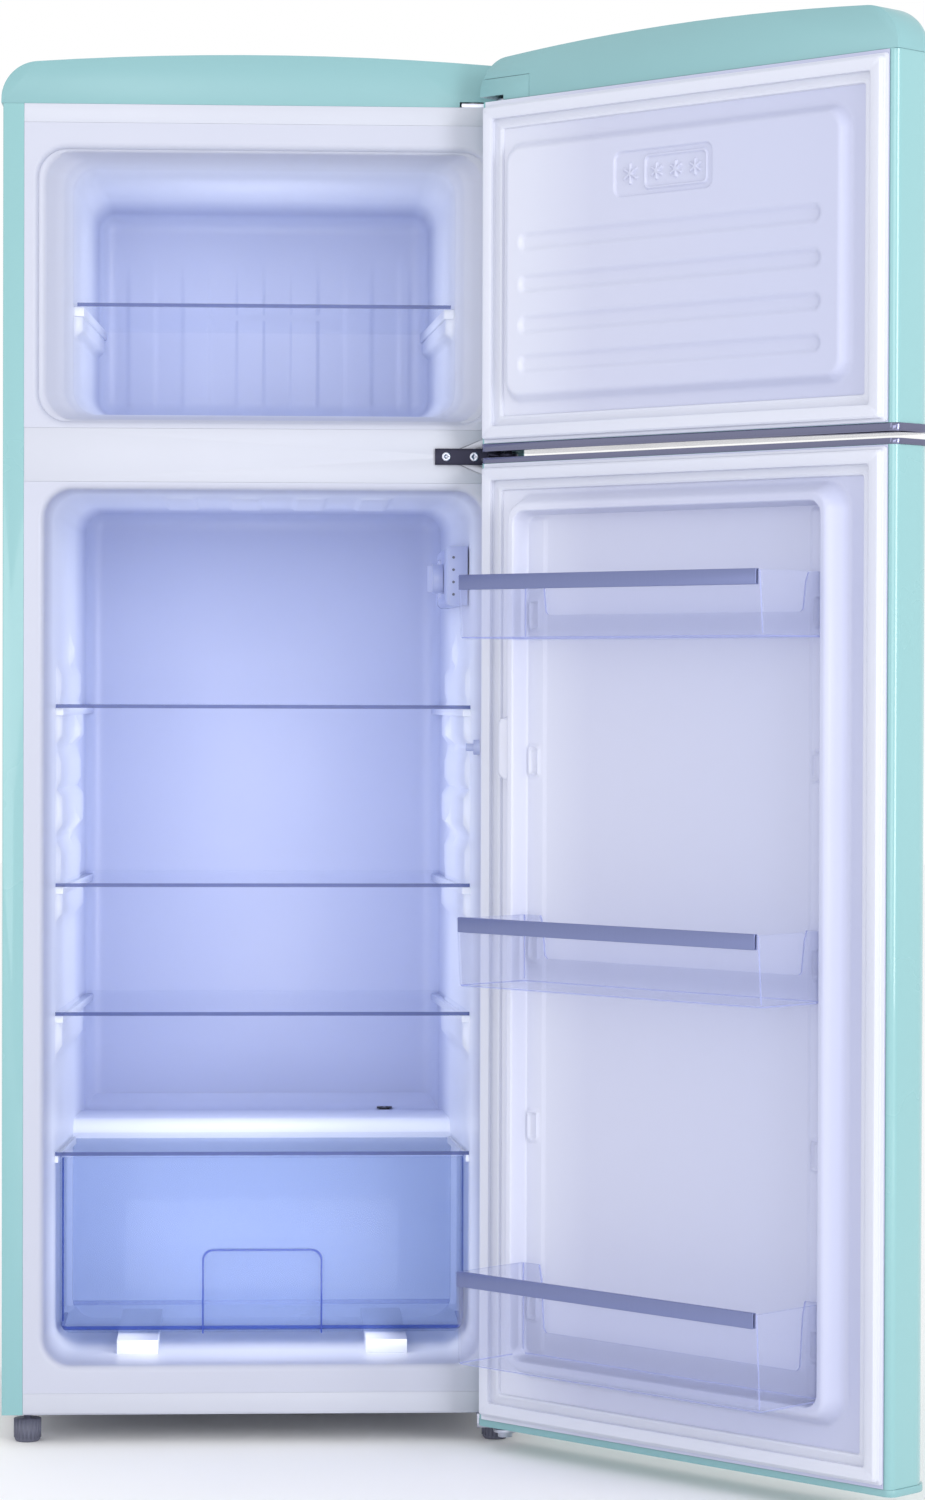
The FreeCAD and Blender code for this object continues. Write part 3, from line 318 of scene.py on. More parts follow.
def brushed():
    shader = Shader("brushed_trim", srgb(122, 130, 172), 0.36, Metallic=0.8)
    shader.roughen(0.3, 0.44, 900.0, (1, 1, 0.02))
    shader.bump(1500.0, 0.15, 0.0001, stretch=(0.05, 0.05, 1))
    return shader.material


def clear(name, tint, body, amount, roughness=0.06):
    """Clear sheet: light goes straight through, tinted, with an amount of glossy surface."""
    shader = Shader(name, body, roughness)
    shader.roughen(roughness * 0.7, roughness * 1.6, 9.0)
    shader.bump(220.0, 0.03)
    through = shader.nodes.new("ShaderNodeBsdfTransparent")
    through.inputs["Color"].default_value = tint
    blend = shader.nodes.new("ShaderNodeMixShader")
    blend.inputs["Fac"].default_value = amount
    shader.link(through.outputs["BSDF"], blend.inputs[1])
    shader.link(shader.base.outputs["BSDF"], blend.inputs[2])
    shader.link(blend.outputs["Shader"], shader.nodes["Material Output"].inputs["Surface"])
    return shader.material


def steel(name, color, roughness=0.35):
    shader = Shader(name, color, roughness, Metallic=1.0)
    shader.vary(color, darker(color, 0.85), 14.0)
    shader.roughen(roughness * 0.8, roughness * 1.3, 18.0)
    shader.bump(800.0, 0.08)
    return shader.material


MATERIALS = {
    "mint_paint": mint_paint(),
    "mint_plastic": mint_plastic(),
    "liner": liner_material(),
    "door_liner": door_liner_material(),
    "face_white": plastic("face_white", srgb(191, 194, 207), 0.38),
    "chrome": chrome(),
    "brushed": brushed(),
    "glass": clear("shelf_glass", (0.975, 0.982, 1.0, 1), srgb(200, 208, 240), 0.04, 0.04),
    "glass_edge": clear("glass_edge", (0.35, 0.42, 0.68, 1), srgb(80, 90, 140), 0.7, 0.1),
    "bin_plastic": clear("bin_plastic", (0.965, 0.97, 0.992, 1), srgb(205, 210, 240), 0.08),
    "bin_edge": clear("bin_edge", (0.72, 0.76, 0.95, 1), srgb(170, 178, 225), 0.5),
    "crisper_plastic": clear("crisper_plastic", (0.925, 0.95, 1.0, 1), srgb(175, 195, 248),
                             0.16),
    "crisper_edge": clear("crisper_edge", (0.45, 0.55, 0.9, 1), srgb(60, 82, 165), 0.6),
    "gasket": plastic("gasket", srgb(205, 208, 222), 0.5),
    "white_plastic": plastic("white_plastic", srgb(172, 181, 220), 0.3),
    "grey_plastic": plastic("grey_plastic", srgb(96, 98, 116), 0.5),
    "dark_plastic": plastic("dark_plastic", srgb(48, 48, 56), 0.5),
    "rubber": plastic("rubber", srgb(38, 38, 40), 0.7),
    "zinc": steel("zinc", srgb(205, 208, 222)),
    "black_steel": steel("black_steel", srgb(50, 50, 64), 0.4),
    "machine_black": plastic("machine_black", srgb(34, 34, 38), 0.4),
}


# ---------------------------------------------------------------- mesh helpers
def piece(name, verts, faces, material, body, nodes, place=None, angle=SHARP, edge=None):
    """A visual piece from millimetre vertices in the shared frame.

    nodes are the CAD nodes that it replaces, and edge is (material, face numbers).
    """
    mesh = bpy.data.meshes.new(name)
    mesh.from_pydata([tuple(v) for v in verts], [], [tuple(f) for f in faces])
    if place is not None:
        mesh.transform(place)
    mesh.transform(Matrix.Scale(MM, 4))
    mesh.materials.append(MATERIALS[material])
    if edge:
        mesh.materials.append(MATERIALS[edge[0]])
        for number in edge[1]:
            mesh.polygons[number].material_index = 1
    bm = bmesh.new()
    bm.from_mesh(mesh)
    bmesh.ops.recalc_face_normals(bm, faces=bm.faces)
    bm.to_mesh(mesh)
    bm.free()
    mesh.shade_smooth()
    mesh.set_sharp_from_angle(angle=math.radians(angle))
    obj = bpy.data.objects.new(name, mesh)
    bpy.context.scene.collection.objects.link(obj)
    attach(obj, body)
    if nodes:
        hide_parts(*nodes)


def rounded_loop(x, z, radius, corner, along):
    """Points of a rounded rectangle, counter-clockwise from its right side.

    Equal corner and along counts always give the same number of points in the same order.
    """
    (x0, x1), (z0, z1) = x, z
    centres = [
        (x1 - radius, z1 - radius, 0.0),
        (x0 + radius, z1 - radius, 90.0),
        (x0 + radius, z0 + radius, 180.0),
        (x1 - radius, z0 + radius, 270.0),
    ]
    counts = along * 2
    points = []
    for index, (cx, cz, start) in enumerate(centres):
        arc = []
        for step in range(corner + 1):
            a = math.radians(start + 90.0 * step / corner)
            arc.append((cx + radius * math.cos(a), cz + radius * math.sin(a)))
        points += arc
        nx, nz, nstart = centres[(index + 1) % 4]
        a = math.radians(nstart)
        target = (nx + radius * math.cos(a), nz + radius * math.sin(a))
        count = counts[index]
        for step in range(1, count):
            t = step / count
            points.append((arc[-1][0] + (target[0] - arc[-1][0]) * t,
                           arc[-1][1] + (target[1] - arc[-1][1]) * t))
    return points


def skin_loops(loops, close_start=False, close_end=False):
    """Faces between successive loops of equal length."""
    count = len(loops[0])
    verts = [point for loop in loops for point in loop]
    faces = []
    for row in range(len(loops) - 1):
        for i in range(count):
            j = (i + 1) % count
            a = row * count
            b = a + count
            faces.append((a + i, a + j, b + j, b + i))
    if close_start:
        faces.append(tuple(range(count))[::-1])
    if close_end:
        base = (len(loops) - 1) * count
        faces.append(tuple(range(base, base + count)))
    return verts, faces


def open_rows(rows):
    """Faces between successive open rows of equal length."""
    count = len(rows[0])
    verts = [point for row in rows for point in row]
    faces = []
    for row in range(len(rows) - 1):
        for i in range(count - 1):
            a = row * count + i
            faces.append((a, a + 1, a + 1 + count, a + count))
    return verts, faces


def discs(centres, y, radius, sides):
    """Flat round faces at one depth, around centres (x, z)."""
    verts, faces = [], []
    for x, z in centres:
        first = len(verts)
        for k in range(sides):
            a = 2 * math.pi * k / sides
            verts.append((x + radius * math.cos(a), y, z + radius * math.sin(a)))
        faces.append(tuple(range(first, first + sides)))
    return verts, faces


def grid_surface(us, zs, height):
    """A height field: height(u, z) on a grid, as (u, height, z)."""
    uu, zz = np.meshgrid(us, zs, indexing="ij")
    hh = height(uu, zz)
    verts = np.stack([uu, hh, zz], -1).reshape(-1, 3)
    n = len(zs)
    faces = []
    for i in range(len(us) - 1):
        for k in range(n - 1):
            a = i * n + k
            faces.append((a, a + n, a + n + 1, a + 1))
    return verts, faces


def smooth(t):
    """Eases from 0 at t = 0 to 1 at t = 1."""
    t = np.clip(t, 0, 1)
    return t * t * (3 - 2 * t)


def pad(u, z, low, high, radius, ramp):
    """1 inside a rounded rectangle, easing to 0 over the ramp outside it."""
    cu, cz = (low[0] + high[0]) / 2, (low[1] + high[1]) / 2
    hu, hz = (high[0] - low[0]) / 2 - radius, (high[1] - low[1]) / 2 - radius
    du = np.maximum(np.abs(u - cu) - hu, 0)
    dz = np.maximum(np.abs(z - cz) - hz, 0)
    distance = np.hypot(du, dz) - radius
    return smooth(1 - distance / ramp)


def steps(low, high, pitch):
    """Evenly spaced values from low to high, about a pitch apart."""
    return np.linspace(low, high, max(2, int(round((high - low) / pitch)) + 1))


def open_tray(name, u, v, z, wall, corner, foot, rim, body, node, looks, place=None, lean=0.0,
              convert=None):
    """A thin open box with rounded corners.

    u, v and z are its (low, high) spans, corner and foot the radii of its upright and lower
    edges, rim(u, v) the height of its upper edge, lean how far the far side is drawn in at the
    bottom, and looks the materials of its walls and of its edge lines.
    """
    corner_steps, along = 6, (120, 16)
    steps_round, steps_wall = 4, 6
    least_corner = 0.8

    def loop(inset, base, t):
        points = rounded_loop((u[0] + inset, u[1] - inset), (v[0] + inset, v[1] - inset),
                              max(corner - inset, least_corner), corner_steps, along)
        out = []
        for a, b in points:
            height = base + t * (rim(a, b) - base)
            share = (b - v[0]) / (v[1] - v[0])
            out.append((a, b - lean * share * (1 - (height - z[0]) / (z[1] - z[0])), height))
        return out

    loops = []
    for k in range(steps_round + 1):
        angle = math.pi / 2 * k / steps_round
        loops.append(loop(foot * (1 - math.sin(angle)), z[0] + foot * (1 - math.cos(angle)), 0))
    for k in range(1, steps_wall + 1):
        loops.append(loop(0, z[0] + foot, k / steps_wall))
    rim_row = len(loops) - 1
    for k in range(steps_wall, -1, -1):
        loops.append(loop(wall, z[0] + foot, k / steps_wall))
    for k in range(steps_round - 1, -1, -1):
        angle = math.pi / 2 * k / steps_round
        loops.append(loop(wall + (foot - wall) * (1 - math.sin(angle)),
                          z[0] + wall + (foot - wall) * (1 - math.cos(angle)), 0))
    if convert:
        loops = [convert(points) for points in loops]
    verts, faces = skin_loops(loops, True, True)
    count = len(loops[0])
    lines = list(range(rim_row * count, (rim_row + 1) * count))
    lines += range(steps_round // 2 * count, (steps_round // 2 + 1) * count)
    column = corner_steps // 2
    for run in along * 2:
        lines += [row * count + column for row in range(steps_round, rim_row)]
        column += corner_steps + run
    piece(name, verts, faces, looks[0], body, [node], place, 40,
          (looks[1], lines))


def from_door(points):
    """Door coordinates (u, v, z) to the shared frame with the door closed."""
    return [(DOOR_HALF - u, FRONT_Y + v, z) for u, v, z in points]


# ---------------------------------------------------------------- cabinet liners
WALL_MARGIN = 1.0                # how near a wall's line a point counts as on that wall


def blend_path(stops, y):
    """Interpolated (half, low, high, radius) at depth y from stops sorted by depth."""
    ys = [s[0] for s in stops]
    return [float(np.interp(y, ys, [s[k] for s in stops])) for k in range(1, 5)]


def behind_bench(points):
    """True for a face that would lie inside the step over the compressor."""
    inside, below = 3, 8
    y = sum(p[1] for p in points) / len(points)
    z = sum(p[2] for p in points) / len(points)
    return y > BENCH_Y + inside and z < BENCH_Z - below


def cavity(name, stops, face_z, depths, relief, back_relief, node):
    """A thermoformed cavity: flange, rolled mouth, drafted walls with relief, rounded back."""
    fold, back_round = 7.0, 20.0     # radii of the mouth and of the back's edges
    round_steps, back_steps = 6, 40
    flange_corner, least_corner, back_corner, back_margin = 0.5, 2, 1.0, 3
    corner, along = 12, (150, 90)
    half, low, high, radius = blend_path(stops, 0)
    flange = rounded_loop((-FACE_HALF, FACE_HALF), face_z, flange_corner, corner, along)
    loops = [[(x, 0.0, z) for x, z in flange]]
    for k in range(round_steps + 1):
        a = math.pi / 2 * k / round_steps
        grow = fold * (1 - math.sin(a))
        y = fold * (1 - math.cos(a))
        loop = rounded_loop((-half - grow, half + grow), (low - grow, high + grow), radius + grow,
                            corner, along)
        loops.append([(x, y, z) for x, z in loop])
    last = depths[-1]
    for y in depths:
        half, low, high, radius = blend_path(stops, y)
        loop = rounded_loop((-half, half), (low, high), radius, corner, along)
        loops.append([relief(x, y, z, half, high) for x, z in loop])
    half, low, high, radius = blend_path(stops, last)
    for k in range(1, round_steps + 1):
        a = math.pi / 2 * k / round_steps
        inset = back_round * (1 - math.cos(a))
        y = last + back_round * math.sin(a)
        loop = rounded_loop((-half + inset, half - inset), (low + inset, high - inset),
                            max(radius - inset, least_corner), corner, along)
        loops.append([back_relief(x, y, z) for x, z in loop])
    limit = min(half, (high - low) / 2) - back_round - back_margin
    for k in range(1, back_steps + 1):
        inset = back_round + limit * k / back_steps
        loop = rounded_loop((-half + inset, half - inset), (low + inset, high - inset),
                            back_corner, corner, along)
        loops.append([back_relief(x, last + back_round, z) for x, z in loop])
    verts, faces = skin_loops(loops, close_end=True)
    faces = [face for face in faces if not behind_bench([verts[i] for i in face])]
    used = sorted({i for face in faces for i in face})
    renumber = {old: new for new, old in enumerate(used)}
    faces = [[renumber[i] for i in face] for face in faces]
    verts = [verts[i] for i in used]
    piece(name, verts, faces, "liner", "cabinet", [node], angle=50)


def freezer_relief(x, y, z, half, high):
    """Ledges under the freezer shelf on the side walls."""
    rise, radius, ease = 8.0, 8, 8
    front, back, drop_low, drop_high = 92, 392, 24, 6
    if abs(x) > half - WALL_MARGIN:
        side = -1 if x > 0 else 1
        ledge = pad(y, z, (front, FREEZER_SHELF_Z - drop_low), (back, FREEZER_SHELF_Z - drop_high),
                    radius, ease)
        x = x + side * rise * float(ledge)
    return (x, y, z)


def freezer_back(x, y, z):
    """Upright channels on the back wall, fading out towards its top and sides."""
    pitch, shift, depth, ease = 62.0, 15.5, 1.0, 3.0
    top, top_fade, half, side_fade = 1296, 60, 170, 4
    phase = abs(((x + shift + pitch / 2) % pitch) - pitch / 2)
    fade = float(smooth((top - z) / top_fade))
    band = float(smooth(0.5 + (pitch / 4 - phase) / ease))
    across = float(smooth((half - abs(x)) / side_fade))
    return (x, y - depth * band * fade * across, z)


cavity("freezer_liner_skin", FREEZER_STOPS, FREEZER_FACE_Z, steps(8, 400, 5), freezer_relief,
       freezer_back, "freezer_liner")


def at_level(y, z, level, shape):
    """Height of one side wall relief at a shelf's level."""
    (front, low), (back, high), radius, rise = shape
    return rise * float(pad(y, z, (front, level + low), (back, level + high), radius, RELIEF_EASE))


def fridge_relief(x, y, z, half, high):
    """Ledge, block and round boss at each shelf on the side walls, and low pads on the ceiling.

    The lowest shelf has its ledge only.
    """
    pad_half, pad_front, pad_back, pad_drop = 15, 120, 330, 2.0
    if abs(x) > half - WALL_MARGIN:
        side = -1 if x > 0 else 1
        bulge = 0.0
        for level in SHELF_LEVELS + [SPARE_LEVEL]:
            bulge += at_level(y, z, level, LEDGE)
            if level != SHELF_LEVELS[2]:
                bulge += at_level(y, z, level, BLOCK)
                bulge += at_level(y, z, level, BOSS)
        x = x + side * bulge
    elif z > high - WALL_MARGIN:
        for centre in (-90, -20, 50, 120):
            z = z - pad_drop * float(pad(x, y, (centre - pad_half, pad_front),
                                         (centre + pad_half, pad_back), 6, 4))
    return (x, y, z)


def plain_back(x, y, z):
    return (x, y, z)


cavity("fridge_liner_skin", FRIDGE_STOPS, FRIDGE_FACE_Z, steps(8, 415, 5), fridge_relief,
       plain_back, "fridge_liner")


def bench():
    """The step over the compressor, with a rolled front edge and a shallow gutter at the back."""
    half, foot, nose, nose_steps = 213.0, 86.0, 14, 8
    gutter = [(380, 1), (400, -1), (418, -2), (428, 4), (434, 16)]    # y, height over the bench
    profile = [(BENCH_Y, foot), (BENCH_Y, BENCH_Z - nose)]
    for k in range(1, nose_steps + 1):
        a = math.pi / 2 * k / nose_steps
        profile.append((BENCH_Y + nose * (1 - math.cos(a)), BENCH_Z - nose + nose * math.sin(a)))
    profile += [(y, BENCH_Z + rise) for y, rise in gutter]
    rows = [[(x, y, z) for y, z in profile] for x in steps(-half, half, 6)]
    verts, faces = open_rows(rows)
    piece("bench_skin", verts, faces, "liner", "cabinet", (), angle=60)


bench()


# ---------------------------------------------------------------- doors: skins, liners, gaskets
def door_outline():
    """Plan outline of a closed door, rounded more on the outer edges than on the inner."""
    corner = 12
    x0, x1 = -DOOR_HALF, DOOR_HALF
    y0, y1 = OUTER_Y, FRONT_Y
    points = []
    for cx, cy, r, start in (
        (x1 - R_IN, y1 - R_IN, R_IN, 0),
        (x0 + R_IN, y1 - R_IN, R_IN, 90),
        (x0 + R_OUT, y0 + R_OUT, R_OUT, 180),
        (x1 - R_OUT, y0 + R_OUT, R_OUT, 270),
    ):
        for step in range(corner + 1):
            a = math.radians(start + 90 * step / corner)
            points.append((cx + r * math.cos(a), cy + r * math.sin(a)))
    return points


def door_skin(name, z, body):
    """Painted shell of a door, which also stands for its foam."""
    ends, plain = (0.2, 0.4), 5      # rows near each end, and where the even rows start
    levels = [z[0] + end for end in ends] + list(steps(z[0] + plain, z[1] - plain, 60))
    levels += [z[1] - end for end in reversed(ends)]
    loops = [[(x, y, level) for x, y in door_outline()] for level in levels]
    verts, faces = skin_loops(loops, True, True)
    piece(name, verts, faces, "mint_paint", body, [body + "_skin", body + "_foam"],
          DOOR, 40)


door_skin("freezer_skin", FREEZER_DOOR_Z, "freezer_door")
door_skin("fridge_skin", FRIDGE_DOOR_Z, "fridge_door")


def freezer_door_height(u, z):
    """Relief of the freezer door's liner: raised panel, four grooves and the frost stars."""
    panel_rise, groove_depth, plaque_depth, sign_rise = 10.4, 3.0, 2.4, 2.2
    groove = 5.0                     # half height, corner radius and easing of a groove
    h = LINER_BASE + 0 * u
    h = h + panel_rise * pad(u, z, (50, 1099), (486, 1347), 14, 12)
    for centre in GROOVE_LEVELS:
        dip = pad(u, z, (70, centre - groove), (460, centre + groove), groove, groove)
        h = h - groove_depth * dip
    h = h - plaque_depth * pad(u, z, (199, 1290), (325, 1332), 7, 2.5)
    frame_in = pad(u, z, (240, 1297), (317, 1325), 4, 1.6)
    frame_out = pad(u, z, (237.5, 1294.5), (319.5, 1327.5), 5, 1.6)
    h = h + sign_rise * (frame_out - frame_in)
    for centre, size in STARS:
        h = h + sign_rise * asterisk(u - centre, z - STAR_Z, size)
    return h


def asterisk(u, z, size):
    """A six-armed frost star."""
    half_arm, ease = 1.9, 1.2
    total = 0 * u
    for k in range(3):
        a = math.pi / 2 + math.pi * k / 3
        along = u * math.cos(a) + z * math.sin(a)
        across = -u * math.sin(a) + z * math.cos(a)
        arm = smooth((size - np.abs(along)) / ease) * smooth((half_arm - np.abs(across)) / ease)
        total = np.maximum(total, arm)
    return total


def fridge_door_height(u, z):
    """Relief of the fridge door's liner: raised frame, recess, bin lugs and the switch pad."""
    recess_floor, strip_rise, lug_rise, lug_hollow, switch_drop = 2.6, 1.6, 2.2, 2.6, 1.5
    lug_half, lug_width, lug_wall, lug_ease = 15, 14, 3, 1.5
    h = LINER_BASE + 0 * u
    raised = pad(u, z, (66, 97), (482, 982), 16, 15)
    recess = pad(u, z, (76, 108), (472, 972), 10, 5)
    h = h + DYKE_TOP * raised - (DYKE_TOP - recess_floor) * recess
    strip = pad(u, z, (76, 112), (97, 968), 3, 3) + pad(u, z, (451, 112), (472, 968), 3, 3)
    h = h + strip_rise * strip
    for centre in LUG_LEVELS:
        for base in (78.0, 454.0):
            outer = pad(u, z, (base, centre - lug_half), (base + lug_width, centre + lug_half), 3,
                        lug_ease)
            inner = pad(u, z, (base + lug_wall, centre - lug_half + lug_wall),
                        (base + lug_width - lug_wall, centre + lug_half - lug_wall), 2, lug_ease)
            h = h + lug_rise * outer - lug_hollow * inner
    switch = pad(u, z, (50, 702), (70, 764), 8, 5)
    return np.maximum(h, LINER_BASE + (DYKE_TOP - switch_drop) * switch)


def grid_lines(low, high, dense):
    """Grid lines 2.2 mm apart, and 0.7 mm apart inside each dense pair."""
    coarse, fine = 2.2, 0.7
    lines = [np.array([low])]
    for start, end in dense:
        lines += [steps(lines[-1][-1], start, coarse)[1:], steps(start, end, fine)[1:]]
    lines.append(steps(lines[-1][-1], high, coarse)[1:])
    return np.concatenate(lines)


def door_liner(body, z, height, dense_u, dense_z):
    """Relief liner of a door; dense_u and dense_z are where its grid has fine lines."""
    rim, end = 8.0, 0.5
    us = grid_lines(rim, DOOR_W - rim, dense_u)
    zs = grid_lines(z[0] + end, z[1] - end, dense_z)
    verts, faces = grid_surface(us, zs, height)
    piece(body + "_liner_skin", from_door(verts), faces, "door_liner", body, [body + "_liner"],
          DOOR, 60)


door_liner("freezer_door", FREEZER_DOOR_Z, freezer_door_height, [(196, 328)], [(1286, 1336)])
door_liner("fridge_door", FRIDGE_DOOR_Z, fridge_door_height, [(62, 80), (470, 480)],
           [(100, 110), (970, 980)])


def gasket(body):
    """Bellows gasket round a door's inner face."""
    u = (GASKET_INSET, DOOR_W - GASKET_INSET)
    z = z_span(body + "_gasket")
    radius, corner, along = 3.0, 4, (4, 4)
    loops = []
    for w, v in GASKET_PROFILE:
        loop = rounded_loop((u[0] + w, u[1] - w), (z[0] + w, z[1] - w), radius, corner, along)
        loops.append(from_door([(a, v, b) for a, b in loop]))
    verts, faces = skin_loops(loops)
    piece(body + "_seal", verts, faces, "gasket", body, [body + "_gasket"], DOOR, 30)


for door in ("freezer_door", "fridge_door"):
    gasket(door)


def liner_hole_shade():
    """Flat dark discs near the corners of the fridge door's liner: painted shade standing in for
    small holes.
    """
    radius, sides, lift = 2.6, 16, 1.2
    points, faces = discs(HOLES, lift, radius, sides)
    piece("fridge_door_liner_hole_shade", from_door(points), faces, "dark_plastic", "fridge_door", (),
          DOOR)


liner_hole_shade()


# ---------------------------------------------------------------- shelves, bins and crisper
def shelf_slabs():
    """Flat glass sheets, each with its front edge in a darker material."""
    near, front_face = 1, 0          # near a sheet's end; the number of its front face
    for node in SHELVES + ("freezer_shelf",):
        low, high = span(node)
        corners = sorted({(round(v.co.x / MM, 1), round(v.co.y / MM, 1))
                          for v in frame["nodes"][node].data.vertices})
        front = max(abs(x) for x, y in corners if y < low.y + near)
        back = max(abs(x) for x, y in corners if y > high.y - near)
        outline = [(-front, low.y), (front, low.y), (back, high.y), (-back, high.y)]
        loops = [[(x, y, level) for x, y in outline] for level in (low.z, high.z)]
        verts, faces = skin_loops(loops, True, True)
        body = frame["nodes"][node]["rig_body"]
        piece(node + "_glass", verts, faces, "glass", body, [node], angle=30,
              edge=("glass_edge", [front_face]))


shelf_slabs()


def door_bin(label, z):
    """Clear bin whose back is low between two tall pillars."""
    wall, corner, foot, lean = 2.4, 5.0, 4.0, 5.0
    pillar, pillar_ease, back_depth, back_ease = 26.0, 6.0, 3, 2.0

    def rim(u, v):
        inside = smooth(min(u - BIN_U[0] - pillar, BIN_U[1] - pillar - u) / pillar_ease)
        back = smooth(1 - (v - BIN_V[0] - back_depth) / back_ease)
        return z[1] - (z[1] - z[0] - BIN_LOW_BACK) * float(inside * back)

    open_tray(label + "_bin_shell", BIN_U, BIN_V, z, wall, corner, foot, rim, "bin_" + label,
              label + "_bin", ("bin_plastic", "bin_edge"), DOOR, lean, from_door)


for label, levels in BIN_Z.items():
    door_bin(label, levels)


def crisper():
    """Drawer with rounded lower edges and a hand recess in front."""
    wall, corner, foot = 2.5, 10.0, 15.0
    arch_steps, arch_foot = 6, 5
    grow, proud, behind = 1.6, 0.3, 3    # width of the recess's edge line, and its two ends in y
    low, high = span("crisper_drawer")
    open_tray("crisper_shell", (low.x, high.x), (low.y, high.y), (low.z, high.z), wall, corner,
              foot, lambda x, y: high.z, "crisper", "crisper_drawer",
              ("crisper_plastic", "crisper_edge"))
    arch = [(-GRIP_X, low.z + 1)]
    for k in range(arch_steps + 1):
        a = math.pi / 2 * k / arch_steps
        arch.append((-GRIP_X + GRIP_R * (1 - math.cos(a)), GRIP_TOP - GRIP_R * (1 - math.sin(a))))
    arch += [(-x, z) for x, z in reversed(arch)]

    def ring(out, y):
        return [(x + math.copysign(out, x), y, z + (out if z > low.z + arch_foot else 0))
                for x, z in arch]

    back = ring(0, low.y + GRIP_DEEP)
    verts, faces = open_rows([ring(grow, low.y - proud), ring(0, low.y - proud), back,
                              ring(grow, low.y + behind)])
    piece("crisper_grip_edge", verts, faces, "crisper_edge", "crisper", (),
          angle=40)
    piece("crisper_grip_back", back, [tuple(range(len(back)))], "crisper_plastic", "crisper", ())


crisper()


def thermostat_marks():
    """Column of small dark dots beside the knob, on the front of the housing."""
    low, high = span("thermostat_housing")
    radius, sides, proud, inwards, end, pitch = 1.5, 12, 0.3, 9, 12, 13
    centres = [(low.x + inwards, z) for z in steps(low.z + end, high.z - end, pitch)]
    points, faces = discs(centres, low.y - proud, radius, sides)
    piece("thermostat_marks", points, faces, "grey_plastic", "cabinet", ())


thermostat_marks()


def niche_lining():
    """Steel front wall and ceiling of the compressor's niche, shown for the hidden insulation."""
    inset = 1.5
    y, z = (NICHE_Y, BACK_Y - inset), NICHE_Z
    half = BODY_HALF - inset
    verts = [(-half, y[0], z[0]), (half, y[0], z[0]), (half, y[0], z[1]), (-half, y[0], z[1]),
             (half, y[1], z[1]), (-half, y[1], z[1])]
    faces = [(0, 1, 2, 3), (3, 2, 4, 5)]
    piece("niche_lining", verts, faces, "zinc", "cabinet", ["insulation"])


niche_lining()


# ---------------------------------------------------------------- carried-over CAD nodes
def carry(node, material, width):
    """Show a CAD node welded, with its own material and its sharp edges rounded by a width."""
    weld_gap = 0.02
    obj = frame["nodes"][node]
    obj.data.materials.clear()
    obj.data.materials.append(MATERIALS[material])
    weld = obj.modifiers.new("weld", "WELD")
    weld.merge_threshold = weld_gap * MM
    if width:
        bevel = obj.modifiers.new("edges", "BEVEL")
        bevel.width = width * MM
        bevel.segments = 2
        bevel.limit_method = "ANGLE"
        bevel.angle_limit = math.radians(SHARP)
        bevel.harden_normals = True
    obj.data.shade_smooth()
    obj.data.set_sharp_from_angle(angle=math.radians(SHARP))


CARRIED = {
    "mint_paint": ["left_side_panel", "right_side_panel"],
    "mint_plastic": ["top_cap", "freezer_door_cap", "cap_corner_cover", "fridge_door_foot"],
    "face_white": ["mullion_cover", "front_rails"],
    "liner": ["shelf_rests"],
    "chrome": ["freezer_door_trim", "fridge_door_trim", "freezer_door_handle",
               "fridge_door_handle"],
    "black_steel": ["middle_hinge"],
    "zinc": ["hinge_screws", "top_hinge", "bottom_hinge", "back_panel", "base_steel"],
    "machine_black": ["compressor", "condenser"],
    "rubber": ["compressor_grommets", "rear_feet"],
    "dark_plastic": ["evaporating_tray", "condenser_clips", "cord_gland", "drain_tube"],
    "grey_plastic": ["left_front_foot", "right_front_foot"],
    "glass": ["lamp"],
    "brushed": ["top_bin_trim", "middle_bin_trim", "bottom_bin_trim"],
    "white_plastic": ["thermostat_housing", "thermostat_knob", "light_switch", "switch_plunger",
                      "freezer_door_bushes", "fridge_door_bushes"],
}
NO_BEVEL = ("condenser", "lamp", "left_front_foot", "right_front_foot", "hinge_screws")
BEVEL = 0.5
for material, names in CARRIED.items():
    for node in names:
        carry(node, material, 0.0 if node in NO_BEVEL else BEVEL)


# ---------------------------------------------------------------- stage, light and camera
def studio():
    """White surroundings and a plain floor."""
    scene = bpy.context.scene
    scene.view_settings.view_transform = "Standard"
    world = bpy.data.worlds.new("studio")
    scene.world = world
    world.use_nodes = True
    background = world.node_tree.nodes["Background"]
    background.inputs["Color"].default_value = (1.0, 1.0, 1.0, 1.0)
    background.inputs["Strength"].default_value = 1.0
    mesh = bpy.data.meshes.new("floor")
    size = 14.0
    corners = [(-size, -size, 0), (size, -size, 0), (size, size, 0), (-size, size, 0)]
    mesh.from_pydata(corners, [], [(0, 1, 2, 3)])
    floor = bpy.data.objects.new("floor", mesh)
    shader = Shader("floor_paper", (0.92, 0.92, 0.92, 1.0), 0.8)
    shader.roughen(0.7, 0.9)
    mesh.materials.append(shader.material)
    scene.collection.objects.link(floor)


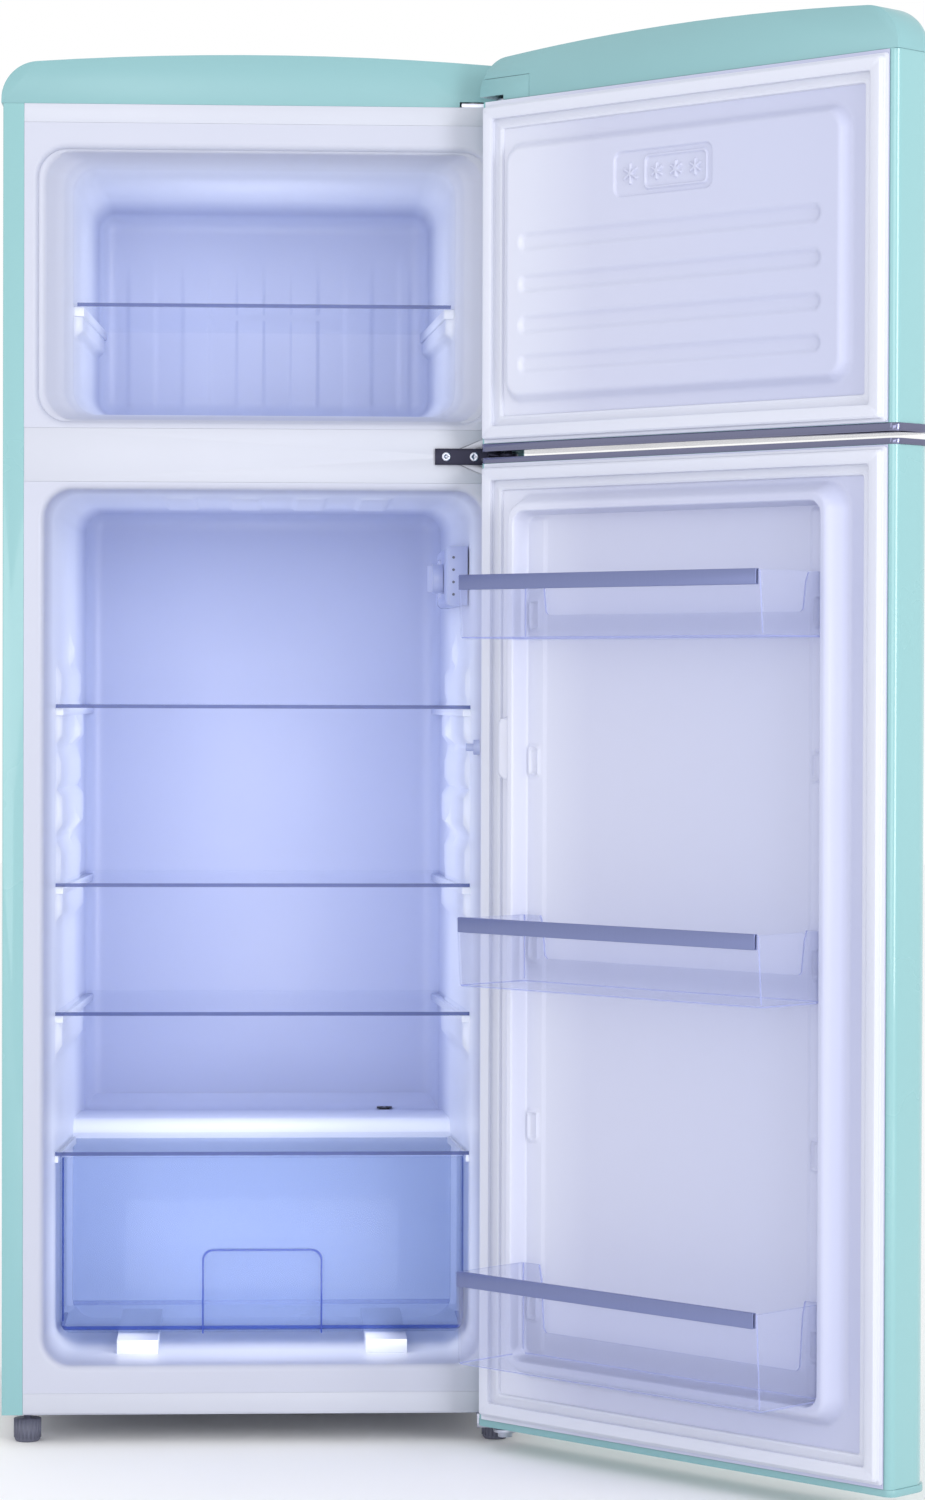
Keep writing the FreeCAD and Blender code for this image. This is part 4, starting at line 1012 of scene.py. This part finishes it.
def area_light(name, location, target, size, power, color=(1, 1, 1)):
    """A rectangular light aimed at a target; size is (width, height) in metres."""
    data = bpy.data.lights.new(name, "AREA")
    data.shape = "RECTANGLE"
    data.size, data.size_y = size
    data.energy = power
    data.color = color
    obj = bpy.data.objects.new(name, data)
    obj.location = location
    direction = Vector(target) - Vector(location)
    obj.rotation_euler = direction.to_track_quat("-Z", "Y").to_euler()
    bpy.context.scene.collection.objects.link(obj)


def camera():
    """Standing in front of the cabinet's middle, looking slightly to the right and down."""
    place, lens = Vector((-0.00926, -4.3142, 0.7982)), 98.5824
    yaw, pitch, roll = math.radians(2.894), math.radians(0.91), math.radians(0.177)
    forward = Vector((math.sin(yaw), math.cos(yaw), 0))
    right = Vector((math.cos(yaw), -math.sin(yaw), 0))
    up = Vector((0, 0, 1))
    aim = forward * math.cos(pitch) - up * math.sin(pitch)
    lift = up * math.cos(pitch) + forward * math.sin(pitch)
    across = right * math.cos(roll) + lift * math.sin(roll)
    upright = lift * math.cos(roll) - right * math.sin(roll)
    data = bpy.data.cameras.new("camera")
    data.sensor_width = 36.0
    data.lens = lens
    data.clip_start, data.clip_end = 0.1, 50.0
    obj = bpy.data.objects.new("camera", data)
    turn = Matrix((across, upright, -aim)).transposed().to_4x4()
    obj.matrix_world = Matrix.Translation(place) @ turn
    bpy.context.scene.collection.objects.link(obj)
    bpy.context.scene.camera = obj


studio()
area_light("front", (-0.6, -4.6, 1.3), (0.1, 0, 0.75), (2.6, 2.2), 34)
area_light("left", (-2.6, -2.2, 1.9), (0.2, 0, 0.8), (1.2, 2.4), 9)
area_light("right", (2.4, -3.4, 1.3), (0.2, 0, 0.7), (1.2, 2.2), 56)
area_light("freezer_fill", (0, 0.13, 1.2), (0, 1, 1.2), (0.18, 0.1), 0.2)
area_light("fridge_fill", (0, 0.15, 0.62), (0, 1, 0.62), (0.14, 0.5), 0.6)
area_light("crisper_fill", (0, 0.0, 0.18), (0, 1, 0.18), (0.3, 0.1), 0.26)
area_light("fridge_glow", (0.0, 0.22, 0.975), (0.0, 0.25, 0.5), (0.34, 0.3), 0.12, (0.85, 0.9, 1.0))
camera()
